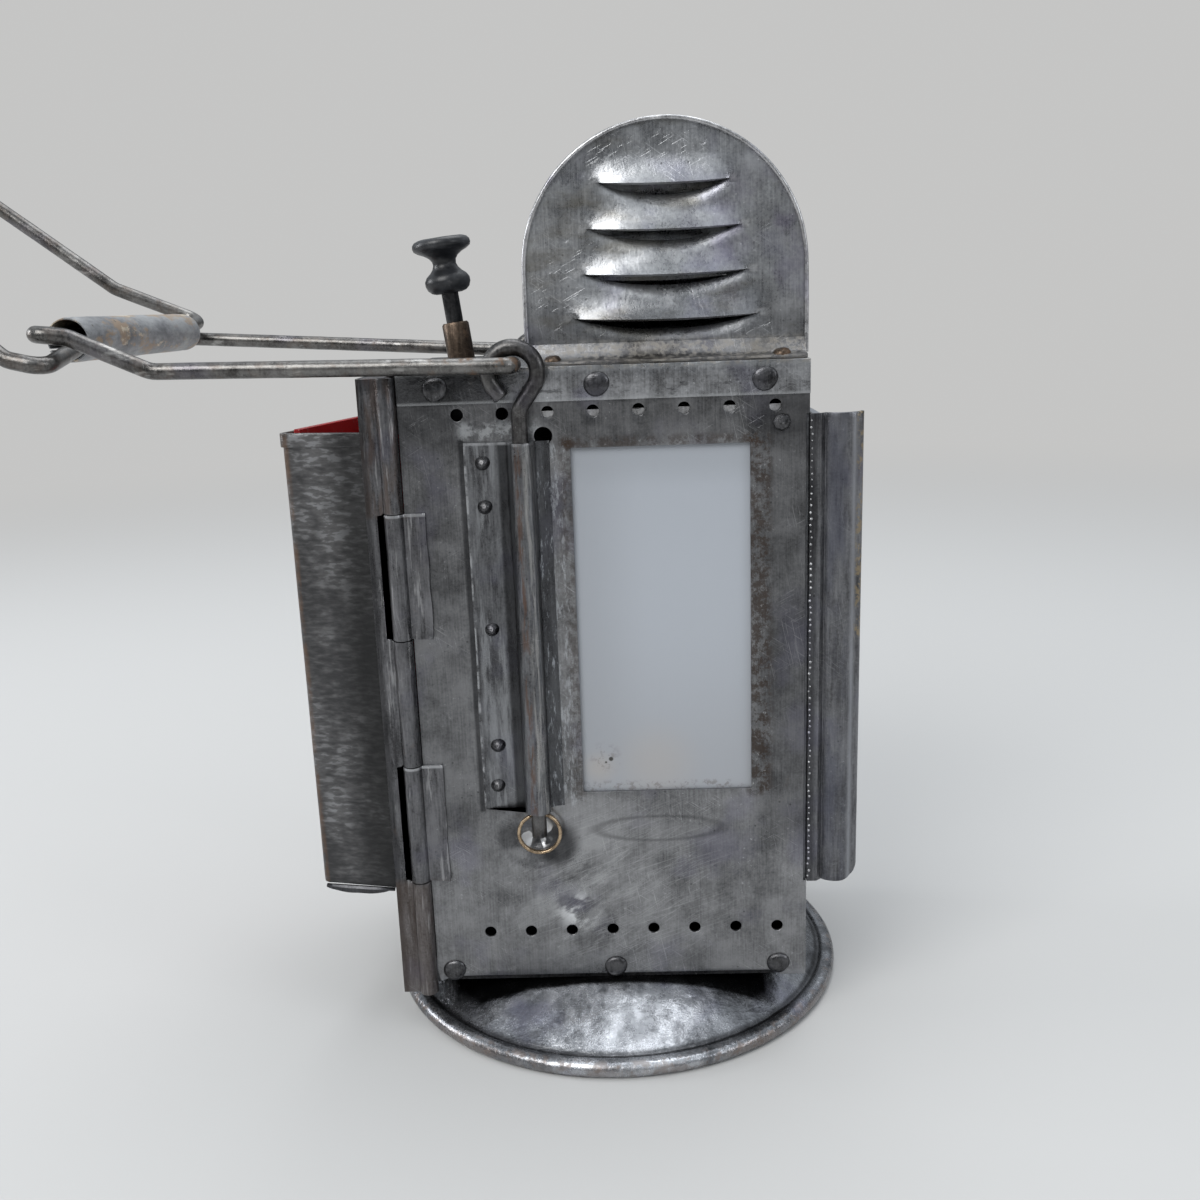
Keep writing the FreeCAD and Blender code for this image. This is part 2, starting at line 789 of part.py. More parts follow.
def make_hood_panel(side):
    front = side == "front"
    name = f"hood_{side}_panel"
    body = start_body(name)
    reach = "hood_radius + sheet_gauge"
    plate_offset = "hood_half_depth" if front else "-hood_half_depth - sheet_gauge"
    rim_offset = (
        "hood_half_depth + sheet_gauge" if front
        else "-hood_half_depth - sheet_gauge - hood_rim_rise"
    )
    sign = "-" if front else ""
    add_pad(body, name, "XZ_Plane", plate_offset, [arch(f"({reach})", "roof_top")], "sheet_gauge")
    inner = f"({reach} - hood_rim_width)"
    rim = arch(f"({reach})", "roof_top") + [
        (f"hood_centre - {inner}", "roof_top"),
        (f"hood_centre - {inner}", "hood_spring_level",
         "hood_centre", f"hood_spring_level + {inner}"),
        (f"hood_centre + {inner}", "hood_spring_level"),
        (f"hood_centre + {inner}", "roof_top"),
    ]
    add_pad(body, f"{name}_rim", "XZ_Plane", rim_offset, [rim], "hood_rim_rise")
    face = "(hood_half_depth + sheet_gauge)"
    foot = [
        (f"{sign}({face} - sheet_gauge / 2)", "roof_top"),
        (f"{sign}({face} + hood_foot_depth)", "roof_top"),
        (f"{sign}({face} + hood_foot_depth)", "roof_top + sheet_gauge"),
        (f"{sign}({face} + sheet_gauge)", "roof_top + hood_foot_rise"),
        (f"{sign}({face} - sheet_gauge / 2)", "roof_top + hood_foot_rise"),
    ]
    add_pad(body, f"{name}_foot", "YZ_Plane", f"hood_centre - {inner}", [foot], f"2 * {inner}")
    slits = []
    for i in range(4):
        level = f"louvre_low_level + {i} * louvre_pitch"
        half = f"(louvre_low_half - {i} * louvre_narrowing)"
        add_spindle(body, f"{name}_lip_{i}", "PartDesign::Revolution", face, level, half,
                    "louvre_bulge", 90.0, front)
        add_spindle(body, f"{name}_throat_{i}", "PartDesign::Groove", face, level,
                    f"({half} - sheet_gauge)", "louvre_bulge - sheet_gauge", 180.0, front)
        slits.append(lens(f"({half} - sheet_gauge)", "slit_height", "hood_centre", level, "-"))
    add_pocket(body, f"{name}_slits", "XZ_Plane", face if front else "-hood_half_depth", slits,
               "sheet_gauge + cut_overrun")
    circles = [(x, f"{sign}{hood_rivet_line}", "small_head_radius") for x in hood_rivet_places]
    add_pocket(body, f"{name}_bores", "XY_Plane", "roof_top + hood_foot_rise + cut_overrun", [],
               "hood_foot_rise + 2 * cut_overrun", circles)
    node(body, name)


def make_hood_rivets():
    heads = []
    for side, sign in (("front", "-"), ("rear", "")):
        for i, x in enumerate(hood_rivet_places):
            heads.append(cylinder(f"hood_rivet_{side}_{i}", x, f"{sign}{hood_rivet_line}",
                                  "roof_top", "small_head_radius", "hood_foot_rise"))
    node(group("hood_rivets", heads), "hood_rivets")


# hinge, door and pocket

knuckle_spans = [
    ("door_bottom", "strap_low_bottom - free_gap"),
    ("strap_low_top + free_gap", "strap_high_bottom - free_gap"),
    ("strap_high_top + free_gap", "door_top"),
]
strap_spans = [
    ("strap_low_bottom", "strap_low_top"),
    ("strap_high_bottom", "strap_high_top"),
]


strap_reach = (f"{strap_reach_share} * (hinge_axis_offset - sleeve_axis_offset"
               " - sleeve_plate_width)")


def hinge_tube(name, low, high, radius):
    return cylinder(name, "-hinge_axis_offset", "-hinge_axis_front", low, radius,
                    f"({high}) - ({low})")


def make_hinge_straps():
    straps = []
    for i, (low, high) in enumerate(strap_spans):
        tube = hinge_tube(f"strap_tube_{i}", low, high, "knuckle_radius")
        leaf = box(f"strap_leaf_{i}", "-hinge_axis_offset", "-body_half_depth - sheet_gauge",
                   low, strap_reach, "sheet_gauge", f"({high}) - ({low})")
        bore = hinge_tube(f"strap_bore_{i}", f"{low} - cut_overrun", f"{high} + cut_overrun",
                          "hinge_pin_radius")
        straps.append(cut(f"hinge_strap_{i}", fuse(f"strap_rolled_{i}", [tube, leaf]), [bore]))
    node(group("hinge_straps", straps), "hinge_straps")


def make_hinge_pin():
    node(hinge_tube("hinge_pin", "door_bottom + free_gap", "door_top - free_gap",
                    "hinge_pin_radius"), "hinge_pin")


def make_door():
    outer = "-hinge_axis_offset - door_depth"
    height = "door_top - door_bottom"
    side_gap = "knuckle_radius + free_gap"
    front_strip = "door_depth + sheet_gauge - knuckle_radius - free_gap"
    back = "-body_half_width - free_gap"
    pieces = [
        box("door_sheet", f"{outer} - sheet_gauge", "-hinge_axis_front", "door_bottom",
            "sheet_gauge", "hinge_axis_front + body_half_depth", height),
        box("door_front_return", f"{outer} - sheet_gauge", "-hinge_axis_front - sheet_gauge / 2",
            "door_bottom", front_strip, "sheet_gauge", height),
        box("door_rear_return", outer, "body_half_depth - sheet_gauge", "door_bottom",
            f"{back} - ({outer})", "sheet_gauge", height),
        box("door_bottom_return", outer, "-body_half_depth + sheet_gauge", "door_bottom",
            f"{back} - ({outer})", "2 * body_half_depth - sheet_gauge", "sheet_gauge"),
        box("door_top_return", outer, "-body_half_depth + sheet_gauge",
            "door_top - sheet_gauge", f"{back} - ({outer})",
            "2 * body_half_depth - sheet_gauge", "sheet_gauge"),
    ]
    bores = []
    for i, (low, high) in enumerate(knuckle_spans):
        pieces.append(hinge_tube(f"door_knuckle_{i}", low, high, "knuckle_radius"))
        pieces.append(box(f"door_tang_{i}", f"{outer}", "-hinge_axis_front - sheet_gauge / 2",
                          low, "door_depth", "sheet_gauge", f"({high}) - ({low})"))
        bores.append(hinge_tube(f"door_bore_{i}", f"{low} - free_gap / 2",
                                f"{high} + free_gap / 2", "hinge_pin_radius + running_gap"))
    window = box("door_window", f"{outer} - cut_overrun", "-side_window_half", "window_bottom",
                 "2 * cut_overrun", "2 * side_window_half", "window_height")
    node(cut("door_panel", fuse("door_folded", pieces), bores + [window]), "door_panel")


def pocket_outline(grow):
    """Plan of the pocket's wall, grown outwards by a size."""
    root = "-hinge_axis_offset - door_depth - sheet_gauge"
    nose = f"{root} - pocket_reach - {grow}"
    side = f"(pocket_nose_half + {grow})"
    base = f"(pocket_root_half + {grow})"
    half_corner = "0.29 * pocket_corner"
    return [
        (root, f"-{base}"),
        (root, base),
        (f"{root} - pocket_heel - {grow}", base),
        (nose, f"-{side} + pocket_corner",
         f"{nose} + {half_corner}", f"-{side} + {half_corner}"),
        (f"{nose} + pocket_corner", f"-{side}"),
    ]


def make_glass_pocket():
    body = start_body("glass_pocket")
    add_pad(body, "pocket_block", "XY_Plane", "pocket_bottom", [pocket_outline("0")],
            "pocket_top - pocket_bottom")
    root = "-hinge_axis_offset - door_depth - sheet_gauge"
    add_pocket(body, "pocket_hollow", "XY_Plane", "pocket_top", [pocket_outline("-sheet_gauge")],
               "pocket_top - pocket_bottom - sheet_gauge")
    add_pocket(body, "pocket_window", "YZ_Plane", root, [side_window()],
               "pocket_reach + cut_overrun")
    node(body, "glass_pocket")
    rim = start_body("pocket_rim")
    outer = pocket_outline("hem_gauge")
    add_pad(rim, "rim_block", "XY_Plane", "pocket_top - hem_height", [outer], "hem_height")
    add_pocket(rim, "rim_hollow", "XY_Plane", "pocket_top + cut_overrun", [pocket_outline("0")],
               "hem_height + 2 * cut_overrun")
    node(rim, "pocket_rim")


def make_red_slide():
    slide = doc.addObject("Part::Box", "red_slide")
    slide.Placement = Placement(Vector(), Rotation(Vector(0, 0, -1), value_of("slide_turn")))
    bind(slide, "Length", "slide_thickness")
    bind(slide, "Width", "slide_width")
    bind(slide, "Height", "slide_height")
    bind(slide, "Placement.Rotation.Angle", "slide_turn")
    centre = f"(-hinge_axis_offset - door_depth - sheet_gauge - {slide_place_share} * pocket_reach)"
    place(slide,
          f"{centre} - slide_width / 2 * sin(slide_turn) - slide_thickness / 2 * cos(slide_turn)",
          "-slide_width / 2 * cos(slide_turn) + slide_thickness / 2 * sin(slide_turn)",
          "pocket_bottom + sheet_gauge")
    node(slide, "red_slide")


# right wing

def wing_channel(sign, reach):
    """Plan of one folded edge of the wing: flange, groove, convex band and return."""
    root = "body_half_width"
    nose = f"(body_half_width + {reach})"
    face = "(body_half_depth + sheet_gauge / 2)"
    inner = f"({face} - sheet_gauge)"
    groove = f"({root} + wing_flange + wing_groove)"
    band = f"({groove} + {nose} - wing_corner) / 2"
    return [
        (root, f"{sign}{face}"),
        (f"{root} + wing_flange", f"{sign}{face}"),
        (groove, f"{sign}({face} - wing_groove)",
         band, f"{sign}({face} + wing_groove / 3)"),
        (f"{nose} - wing_corner", f"{sign}({face} - wing_groove)",
         f"{nose} - 0.29 * wing_corner", f"{sign}({face} - wing_groove - 0.29 * wing_corner)"),
        (nose, f"{sign}({face} - wing_groove - wing_corner)"),
        (nose, f"{sign}({face} - wing_depth)"),
        (f"{nose} - sheet_gauge", f"{sign}({face} - wing_depth)"),
        (f"{nose} - sheet_gauge", f"{sign}({face} - wing_groove - wing_corner)"),
        (f"{nose} - wing_corner", f"{sign}({inner} - wing_groove)",
         band, f"{sign}({inner} + wing_groove / 3)"),
        (groove, f"{sign}({inner} - wing_groove)"),
        (f"{root} + wing_flange", f"{sign}{inner}"),
        (root, f"{sign}{inner}"),
    ]


def make_right_wing():
    body = start_body("right_wing")
    root = "body_half_width"
    nose = "(body_half_width + wing_reach)"
    face = "(body_half_depth + sheet_gauge / 2)"
    height = "wing_top - wing_bottom"
    web = rectangle(f"-{face} + sheet_gauge / 2", f"{face} - sheet_gauge / 2",
                    "wing_bottom", "wing_top")
    add_pad(body, "wing_web", "YZ_Plane", root, [web, side_window()], "sheet_gauge")
    add_pad(body, "wing_front", "XY_Plane", "wing_bottom", [wing_channel("-", "wing_reach")],
            height)
    add_pad(body, "wing_rear", "XY_Plane", "wing_bottom", [wing_channel("", "wing_rear_reach")],
            height)
    ledge = rectangle(root, f"{root} + wing_ledge", f"-({face} - wing_depth)",
                      f"{face} - wing_depth")
    add_pad(body, "wing_ledge", "XY_Plane", "wing_bottom", [ledge], "sheet_gauge")
    low = "wing_bottom"
    corner = [
        (f"{nose} + cut_overrun", f"{low} - cut_overrun"),
        (f"{nose} + cut_overrun", f"{low} + wing_round"),
        (nose, f"{low} + wing_round",
         f"{nose} - 0.29 * wing_round", f"{low} + 0.29 * wing_round"),
        (f"{nose} - wing_round", low),
        (f"{nose} - wing_round", f"{low} - cut_overrun"),
    ]
    add_pocket(body, "wing_rounding", "XZ_Plane", f"{face} + cut_overrun", [corner],
               f"2 * ({face} + cut_overrun)")
    node(body, "right_wing")
    pane_half = f"({face} - wing_groove - sheet_gauge - pane_gap)"
    node(box("right_pane", f"{root} + sheet_gauge + pane_gap", f"-{pane_half}",
             "wing_bottom + sheet_gauge", "pane_thickness", f"2 * {pane_half}",
             f"{height} - sheet_gauge - pane_gap"), "right_pane")


# sleeves, rods, split rings

def make_sleeve(side):
    front = side == "front"
    sign = "-" if front else ""
    axis = "(body_half_depth + sleeve_radius)"
    height = "sleeve_top - sleeve_bottom"
    tube = cylinder(f"{side}_sleeve_tube", "-sleeve_axis_offset", f"{sign}{axis}",
                    "sleeve_bottom", "sleeve_radius", height)
    leaf = box(f"{side}_sleeve_leaf", "-sleeve_axis_offset - sleeve_plate_width",
               "-body_half_depth - sheet_gauge" if front else "body_half_depth",
               "sleeve_bottom", "sleeve_plate_width", "sheet_gauge", height)
    tools = [cylinder(f"{side}_sleeve_bore", "-sleeve_axis_offset", f"{sign}{axis}",
                      "sleeve_bottom - cut_overrun", "rod_radius + running_gap",
                      f"{height} + 2 * cut_overrun")]
    for i, (x, z) in enumerate(sleeve_rivets):
        tools.append(cylinder(
            f"{side}_leaf_bore_{i}", x,
            f"-body_half_depth - sheet_gauge - cut_overrun / 2" if front
            else "body_half_depth - cut_overrun / 2",
            z, "shank_radius", "sheet_gauge + cut_overrun", "Y"))
    node(cut(f"{side}_sleeve", fuse(f"{side}_sleeve_rolled", [tube, leaf]), tools),
         f"{side}_sleeve")


ring_pivot_level = "(sleeve_bottom - free_gap - ring_wire_radius)"


def make_rod(side):
    """A straight rod whose top is bent round into an open eye."""
    sign = -1 if side == "front" else 1
    y = sign * value_of("body_half_depth + sleeve_radius")
    x = -value_of("sleeve_axis_offset")
    eye = Vector(-value_of("eye_centre_offset"), y, value_of("eye_centre_level"))
    radius, angle = value_of("eye_radius"), math.radians(value_of("eye_start_angle"))
    across, down = radius * math.cos(angle), radius * math.sin(angle)
    start = eye + Vector(across, 0, -down)
    finish = eye + Vector(-across, 0, -down)
    heading = Vector(math.sin(angle), 0, math.cos(angle))
    kink = start - heading * ((start.x - x) / heading.x)
    bend = value_of("rod_bend_radius")
    reach = bend * math.tan(angle / 2)
    low_end = kink - Vector(0, 0, reach)
    high_end = kink + heading * reach
    centre = low_end + Vector(bend, 0, 0)
    middle = centre + (kink - centre).normalize() * bend
    tip = finish + Vector(heading.x, 0, -heading.z) * value_of("eye_tip")
    foot = Vector(x, y, value_of(f"{ring_pivot_level} - rod_tail"))
    rod = sweep_wire(f"{side}_rod_wire", [
        Part.LineSegment(foot, low_end).toShape(),
        Part.Arc(low_end, middle, high_end).toShape(),
        Part.LineSegment(high_end, start).toShape(),
        Part.Arc(start, eye + Vector(0, 0, radius), finish).toShape(),
        Part.LineSegment(finish, tip).toShape(),
    ], "rod_radius")
    text_y = f"{'-' if sign < 0 else ''}(body_half_depth + sleeve_radius)"
    hole = cylinder(f"{side}_ring_hole", "-sleeve_axis_offset - rod_radius - cut_overrun",
                    text_y, ring_pivot_level, "ring_hole_radius",
                    "2 * (rod_radius + cut_overrun)", "X")
    node(cut(f"{side}_rod", rod, [hole]), f"{side}_rod")
    ring = doc.addObject("Part::Torus", f"{side}_split_ring")
    ring.Placement = Placement(Vector(), turns["Y"])
    bind(ring, "Radius1", "ring_radius")
    bind(ring, "Radius2", "ring_wire_radius")
    place(ring, "-sleeve_axis_offset", text_y, f"{ring_pivot_level} - ring_radius")
    node(ring, f"{side}_split_ring")


# bails and grip

pivot_level = "(eye_centre_level + eye_radius - 2 * rod_radius - running_gap)"
arm_line = "(body_half_depth + sleeve_radius + 2 * rod_radius + free_gap)"
arm_tip = "(body_half_depth + arm_end_inset)"


def make_lower_bail():
    bar = "-grip_offset - bar_spacing"
    wire = bent_wire("lower_bail", [
        ("-eye_centre_offset", f"-{arm_tip}", pivot_level),
        ("-eye_centre_offset", f"-{arm_line}", pivot_level),
        ("-shoulder_offset", f"-{arm_line}", "shoulder_level"),
        ("-knee_offset", "-knee_front", "knee_level"),
        (bar, "-lower_corner_front", "lower_front_level"),
        (bar, "lower_corner_rear", "lower_rear_level"),
        ("-eye_centre_offset", arm_line, pivot_level),
        ("-eye_centre_offset", arm_tip, pivot_level),
    ], "rod_radius", "bail_bend_radius")
    node(wire, "lower_bail")


def make_upper_bail():
    bar = "-grip_offset + bar_spacing"
    wire = bent_wire("upper_bail", [
        (bar, "-butt_gap / 2", "grip_level"),
        (bar, "-grip_front", "grip_level - bar_slant"),
        (bar, "-upper_corner_front", "upper_front_level"),
        ("-upper_toe_offset", "-upper_corner_front", "upper_toe_level"),
        ("-upper_end_offset", "-upper_end_half", "upper_end_level"),
        ("-upper_end_offset", "upper_end_half", "upper_end_level"),
        ("-upper_shoulder_offset", "upper_end_half + bar_spacing", "upper_shoulder_level"),
        (bar, "upper_corner_rear", "upper_rear_level"),
        (bar, "grip_rear", "grip_level + bar_slant"),
        (bar, "butt_gap / 2", "grip_level"),
    ], "rod_radius", "bail_bend_radius")
    node(wire, "upper_bail")


def make_hand_grip():
    inner = "sqrt(bar_spacing * bar_spacing + bar_slant * bar_slant) + rod_radius + running_gap"
    length = "grip_front + grip_rear"
    tube = cylinder("grip_tube", "-grip_offset", "-grip_front", "grip_level",
                    f"{inner} + grip_wall", length, "Y")
    bore = cylinder("grip_bore", "-grip_offset", "-grip_front - cut_overrun", "grip_level",
                    inner, f"{length} + 2 * cut_overrun", "Y")
    node(cut("hand_grip", tube, [bore]), "hand_grip")


# key and shutter

fork_span = ("(collar_height + screen_wall + 2 * free_gap"
             " + 2 * collar_radius * sin(key_lean))")
fork_middle = f"(fork_drop + ({fork_span} - collar_height) / 2)"
fork_level = f"(roof_top - {fork_middle} * cos(key_lean) - screen_wall / 2)"


def make_key():
    ferrule = leaning("ferrule_barrel", "ferrule_radius", "-ferrule_tail", "ferrule_height")
    bore = leaning("ferrule_bore", "stem_radius + running_gap", "-ferrule_tail - cut_overrun",
                   "ferrule_height + cut_overrun")
    node(cut("key_ferrule", ferrule, [bore]), "key_ferrule")
    node(leaning("key_stem", "stem_radius", f"-fork_drop - {fork_span}", "stem_top"), "key_stem")
    knob = start_body("key_knob")
    add_turned(knob, "key_knob", [[
        ("0", "stem_top"),
        ("stem_radius", "stem_top"),
        ("stem_radius", "knob_base"),
        ("(stem_radius + knob_bulge_radius) / 2", "knob_base"),
        ("knob_bulge_radius", "knob_bulge_level - 0.4 * (knob_bulge_level - knob_base)"),
        ("knob_bulge_radius", "knob_bulge_level",
         "(knob_bulge_radius + knob_waist_radius) / 2 - knob_waist_radius / 8",
         "(knob_bulge_level + knob_waist_level) / 2 - knob_waist_radius / 8"),
        ("knob_waist_radius", "knob_waist_level",
         "(knob_waist_radius + knob_disc_radius) / 2 - knob_waist_radius / 8",
         "(knob_waist_level + knob_disc_level) / 2 + knob_waist_radius / 8"),
        ("knob_disc_radius", "knob_disc_level"),
        ("knob_disc_radius", "knob_top - 0.3 * (knob_top - knob_disc_level)"),
        ("0.86 * knob_disc_radius", "knob_top"),
        ("0", "knob_top"),
    ]])
    knob.Placement = Placement(Vector(), Rotation(Vector(0, -1, 0), value_of("key_lean")))
    bind(knob, "Placement.Rotation.Angle", "key_lean")
    place(knob, "-key_offset", "-key_front", "roof_top")
    node(knob, "key_knob")
    collars = []
    spans = [
        ("-ferrule_tail - free_gap - collar_height", "-ferrule_tail - free_gap"),
        ("-fork_drop", "-fork_drop + collar_height"),
        (f"-fork_drop - {fork_span}", f"-fork_drop - {fork_span} + collar_height"),
    ]
    for i, (low, high) in enumerate(spans):
        ring = leaning(f"collar_ring_{i}", "collar_radius", low, high)
        hole = leaning(f"collar_hole_{i}", "stem_radius", f"({low}) - cut_overrun",
                       f"({high}) + cut_overrun")
        collars.append(cut(f"stem_collar_{i}", ring, [hole]))
    node(group("stem_collars", collars), "stem_collars")


def make_spring_bracket():
    x = "-key_offset + bracket_drop * tan(key_lean) - bracket_width / 2"
    top = "roof_top - sheet_gauge"
    seat = "roof_top - bracket_drop * cos(key_lean)"
    pieces = [
        box("bracket_seat", x, "-key_front - bracket_half", f"{seat} - sheet_gauge",
            "bracket_width", "2 * bracket_half", "sheet_gauge"),
        box("bracket_leg_front", x, "-key_front - bracket_half", f"{seat} - sheet_gauge",
            "bracket_width", "sheet_gauge", f"{top} - ({seat}) + sheet_gauge"),
        box("bracket_leg_rear", x, "-key_front + bracket_half - sheet_gauge",
            f"{seat} - sheet_gauge", "bracket_width", "sheet_gauge",
            f"{top} - ({seat}) + sheet_gauge"),
    ]
    hole = leaning("bracket_hole", "stem_radius + free_gap", "-bracket_drop - 2 * cut_overrun",
                   "-bracket_drop + 2 * cut_overrun")
    node(cut("spring_bracket", fuse("bracket_folded", pieces), [hole]), "spring_bracket")
    low = "-bracket_drop + spring_radius * tan(key_lean) + running_gap"
    high = "-ferrule_tail - free_gap - collar_height"
    coil = leaning("spring_outer", "spring_radius", low, high)
    core = leaning("spring_core", "spring_radius - spring_wall", f"{low} - cut_overrun",
                   f"{high} + cut_overrun")
    node(cut("return_spring", coil, [core]), "return_spring")


screen_left = "(-window_left - screen_margin)"
screen_right = "(window_width - window_left + screen_margin)"
screen_low = "(window_bottom - screen_margin)"
screen_high = "(window_bottom + window_height + screen_margin)"
pane_front = "(body_half_depth - sheet_gauge - pane_gap)"
screen_front = "(body_half_depth - sheet_gauge - 2 * pane_gap - pane_thickness)"
shutter_front = "(body_half_depth - sheet_gauge - 3 * pane_gap - pane_thickness - screen_wall)"


def slots(shift):
    pitch = "(window_height / slot_count)"
    base = f"(window_bottom + {pitch} / 4 - slot_height / 2 + {shift})"
    rows = []
    for i in range(int(sizes["slot_count"])):
        rows.append(rectangle("-window_left", "window_width - window_left",
                              f"{base} + {i} * {pitch}",
                              f"{base} + {i} * {pitch} + slot_height"))
    return rows


def make_front_pane():
    node(box("front_pane", f"{screen_left} + sheet_gauge + pane_gap", f"-{pane_front}",
             f"{screen_low} + sheet_gauge + pane_gap",
             f"{screen_right} - {screen_left} - 2 * sheet_gauge - 2 * pane_gap",
             "pane_thickness", f"{screen_high} - {screen_low} - sheet_gauge - 2 * pane_gap"),
         "front_pane")


def make_shutter_screen():
    body = start_body("shutter_screen")
    outline = rectangle(screen_left, screen_right, screen_low, screen_high)
    add_pad(body, "screen", "XZ_Plane", f"{screen_front} - screen_wall", [outline] + slots("0"),
            "screen_wall")
    wall_face = "(body_half_depth - sheet_gauge)"
    for name, loop in (
        ("screen_left_return", rectangle(screen_left, f"{screen_left} + sheet_gauge",
                                         screen_low, screen_high)),
        ("screen_right_return", rectangle(f"{screen_right} - sheet_gauge", screen_right,
                                          screen_low, screen_high)),
        ("screen_low_return", rectangle(screen_left, screen_right, screen_low,
                                        f"{screen_low} + sheet_gauge")),
    ):
        add_pad(body, name, "XZ_Plane", f"{screen_front} - screen_wall", [loop],
                f"{wall_face} - {screen_front} + screen_wall")
    node(body, "shutter_screen")
    guides = []
    for side, inner, sign in (("left", screen_left, 1), ("right", screen_right, -1)):
        wall_x = inner if sign > 0 else f"{inner} - sheet_gauge"
        lip_x = f"{inner} + sheet_gauge" if sign > 0 else f"{inner} - sheet_gauge - guide_lip"
        web = box(f"guide_web_{side}", wall_x, f"-({screen_front} - screen_wall)", screen_low,
                  "sheet_gauge", "guide_depth", f"{screen_high} - {screen_low}")
        lip = box(f"guide_lip_{side}", lip_x,
                  f"-({screen_front} - screen_wall) + guide_depth - screen_wall / 2",
                  screen_low, "guide_lip", "screen_wall / 2", f"{screen_high} - {screen_low}")
        guides.append(fuse(f"guide_{side}", [web, lip]))
    gate = box("guide_gate", f"{screen_left} - cut_overrun",
               f"-({screen_front} - screen_wall) - cut_overrun",
               f"{fork_level} - collar_height - key_travel - free_gap",
               "sheet_gauge + guide_lip + 2 * cut_overrun", "guide_depth + 2 * cut_overrun",
               "2 * collar_height + key_travel + 2 * free_gap")
    guides[0] = cut("guide_left_gated", guides[0], [gate])
    node(group("shutter_guides", guides), "shutter_guides")


def make_shutter_plate():
    body = start_body("shutter_plate_sheet")
    left = f"({screen_left} + sheet_gauge + pane_gap)"
    right = f"({screen_right} - sheet_gauge - pane_gap)"
    low = f"({screen_low} + key_travel)"
    back = f"({shutter_front} - screen_wall)"
    stem_x = f"(-key_offset + {fork_middle} * sin(key_lean))"
    add_pad(body, "shutter", "XZ_Plane", back,
            [rectangle(left, right, low, screen_high)] + slots("window_height / slot_count / 2"),
            "screen_wall")
    arm = box("shutter_arm", f"{stem_x} - collar_radius", f"-{back} - screen_wall",
              f"{fork_level} - collar_height", f"{left} - {stem_x} + collar_radius + guide_lip",
              "screen_wall", "2 * collar_height")
    fork = box("shutter_fork", f"{stem_x} - collar_radius", f"-{back} - screen_wall",
               fork_level, "2 * collar_radius", f"{back} + screen_wall - key_front + stem_radius",
               "screen_wall")
    slot = box("fork_slot", f"{stem_x} - stem_radius - free_gap",
               "-key_front - stem_radius - free_gap", f"{fork_level} - cut_overrun",
               "2 * (stem_radius + free_gap) + key_travel * sin(key_lean)",
               "2 * stem_radius + free_gap + cut_overrun", "screen_wall + 2 * cut_overrun")
    node(cut("shutter_plate", fuse("shutter_joined", [body, arm, fork]), [slot]), "shutter_plate")


# oil font, burner, reflector

def make_font():
    body = start_body("oil_font")
    top = "font_height"
    add_turned(body, "oil_font", [[
        ("0", "0"),
        ("font_radius", "0"),
        ("font_radius", "font_height - font_shoulder",
         "font_radius - 0.29 * font_shoulder", "font_height - 0.29 * font_shoulder"),
        ("font_radius - font_shoulder", top),
        ("neck_radius", top),
        ("neck_radius", "font_height + neck_height"),
        ("neck_radius - sheet_gauge", "font_height + neck_height"),
        ("neck_radius - sheet_gauge", "font_height - sheet_gauge"),
        ("font_radius - font_shoulder", "font_height - sheet_gauge",
         "font_radius - 0.29 * font_shoulder - sheet_gauge",
         "font_height - 0.29 * font_shoulder - sheet_gauge"),
        ("font_radius - sheet_gauge", "font_height - font_shoulder"),
        ("font_radius - sheet_gauge", "sheet_gauge"),
        ("0", "sheet_gauge"),
    ]])
    place(body, "font_offset", "font_rear", "body_bottom + sheet_gauge")
    node(body, "oil_font")
    ring = cylinder("socket_outer", "font_offset", "font_rear", "body_bottom + sheet_gauge",
                    "font_radius + pane_gap + sheet_gauge", "socket_height")
    hole = cylinder("socket_hole", "font_offset", "font_rear",
                    "body_bottom + sheet_gauge - cut_overrun",
                    "font_radius + pane_gap", "socket_height + 2 * cut_overrun")
    node(cut("font_socket", ring, [hole]), "font_socket")
    node(cylinder("filler_cap", "font_offset",
                  "font_rear - (neck_radius + font_radius - font_shoulder) / 2",
                  "body_bottom + sheet_gauge + font_height",
                  "(font_radius - font_shoulder - neck_radius) / 2 - pane_gap", "cap_height"),
         "filler_cap")


burner_foot = "(body_bottom + sheet_gauge + font_height + neck_height)"
shaft_rear = "(font_rear + wick_half_thickness + spur_radius + running_gap)"


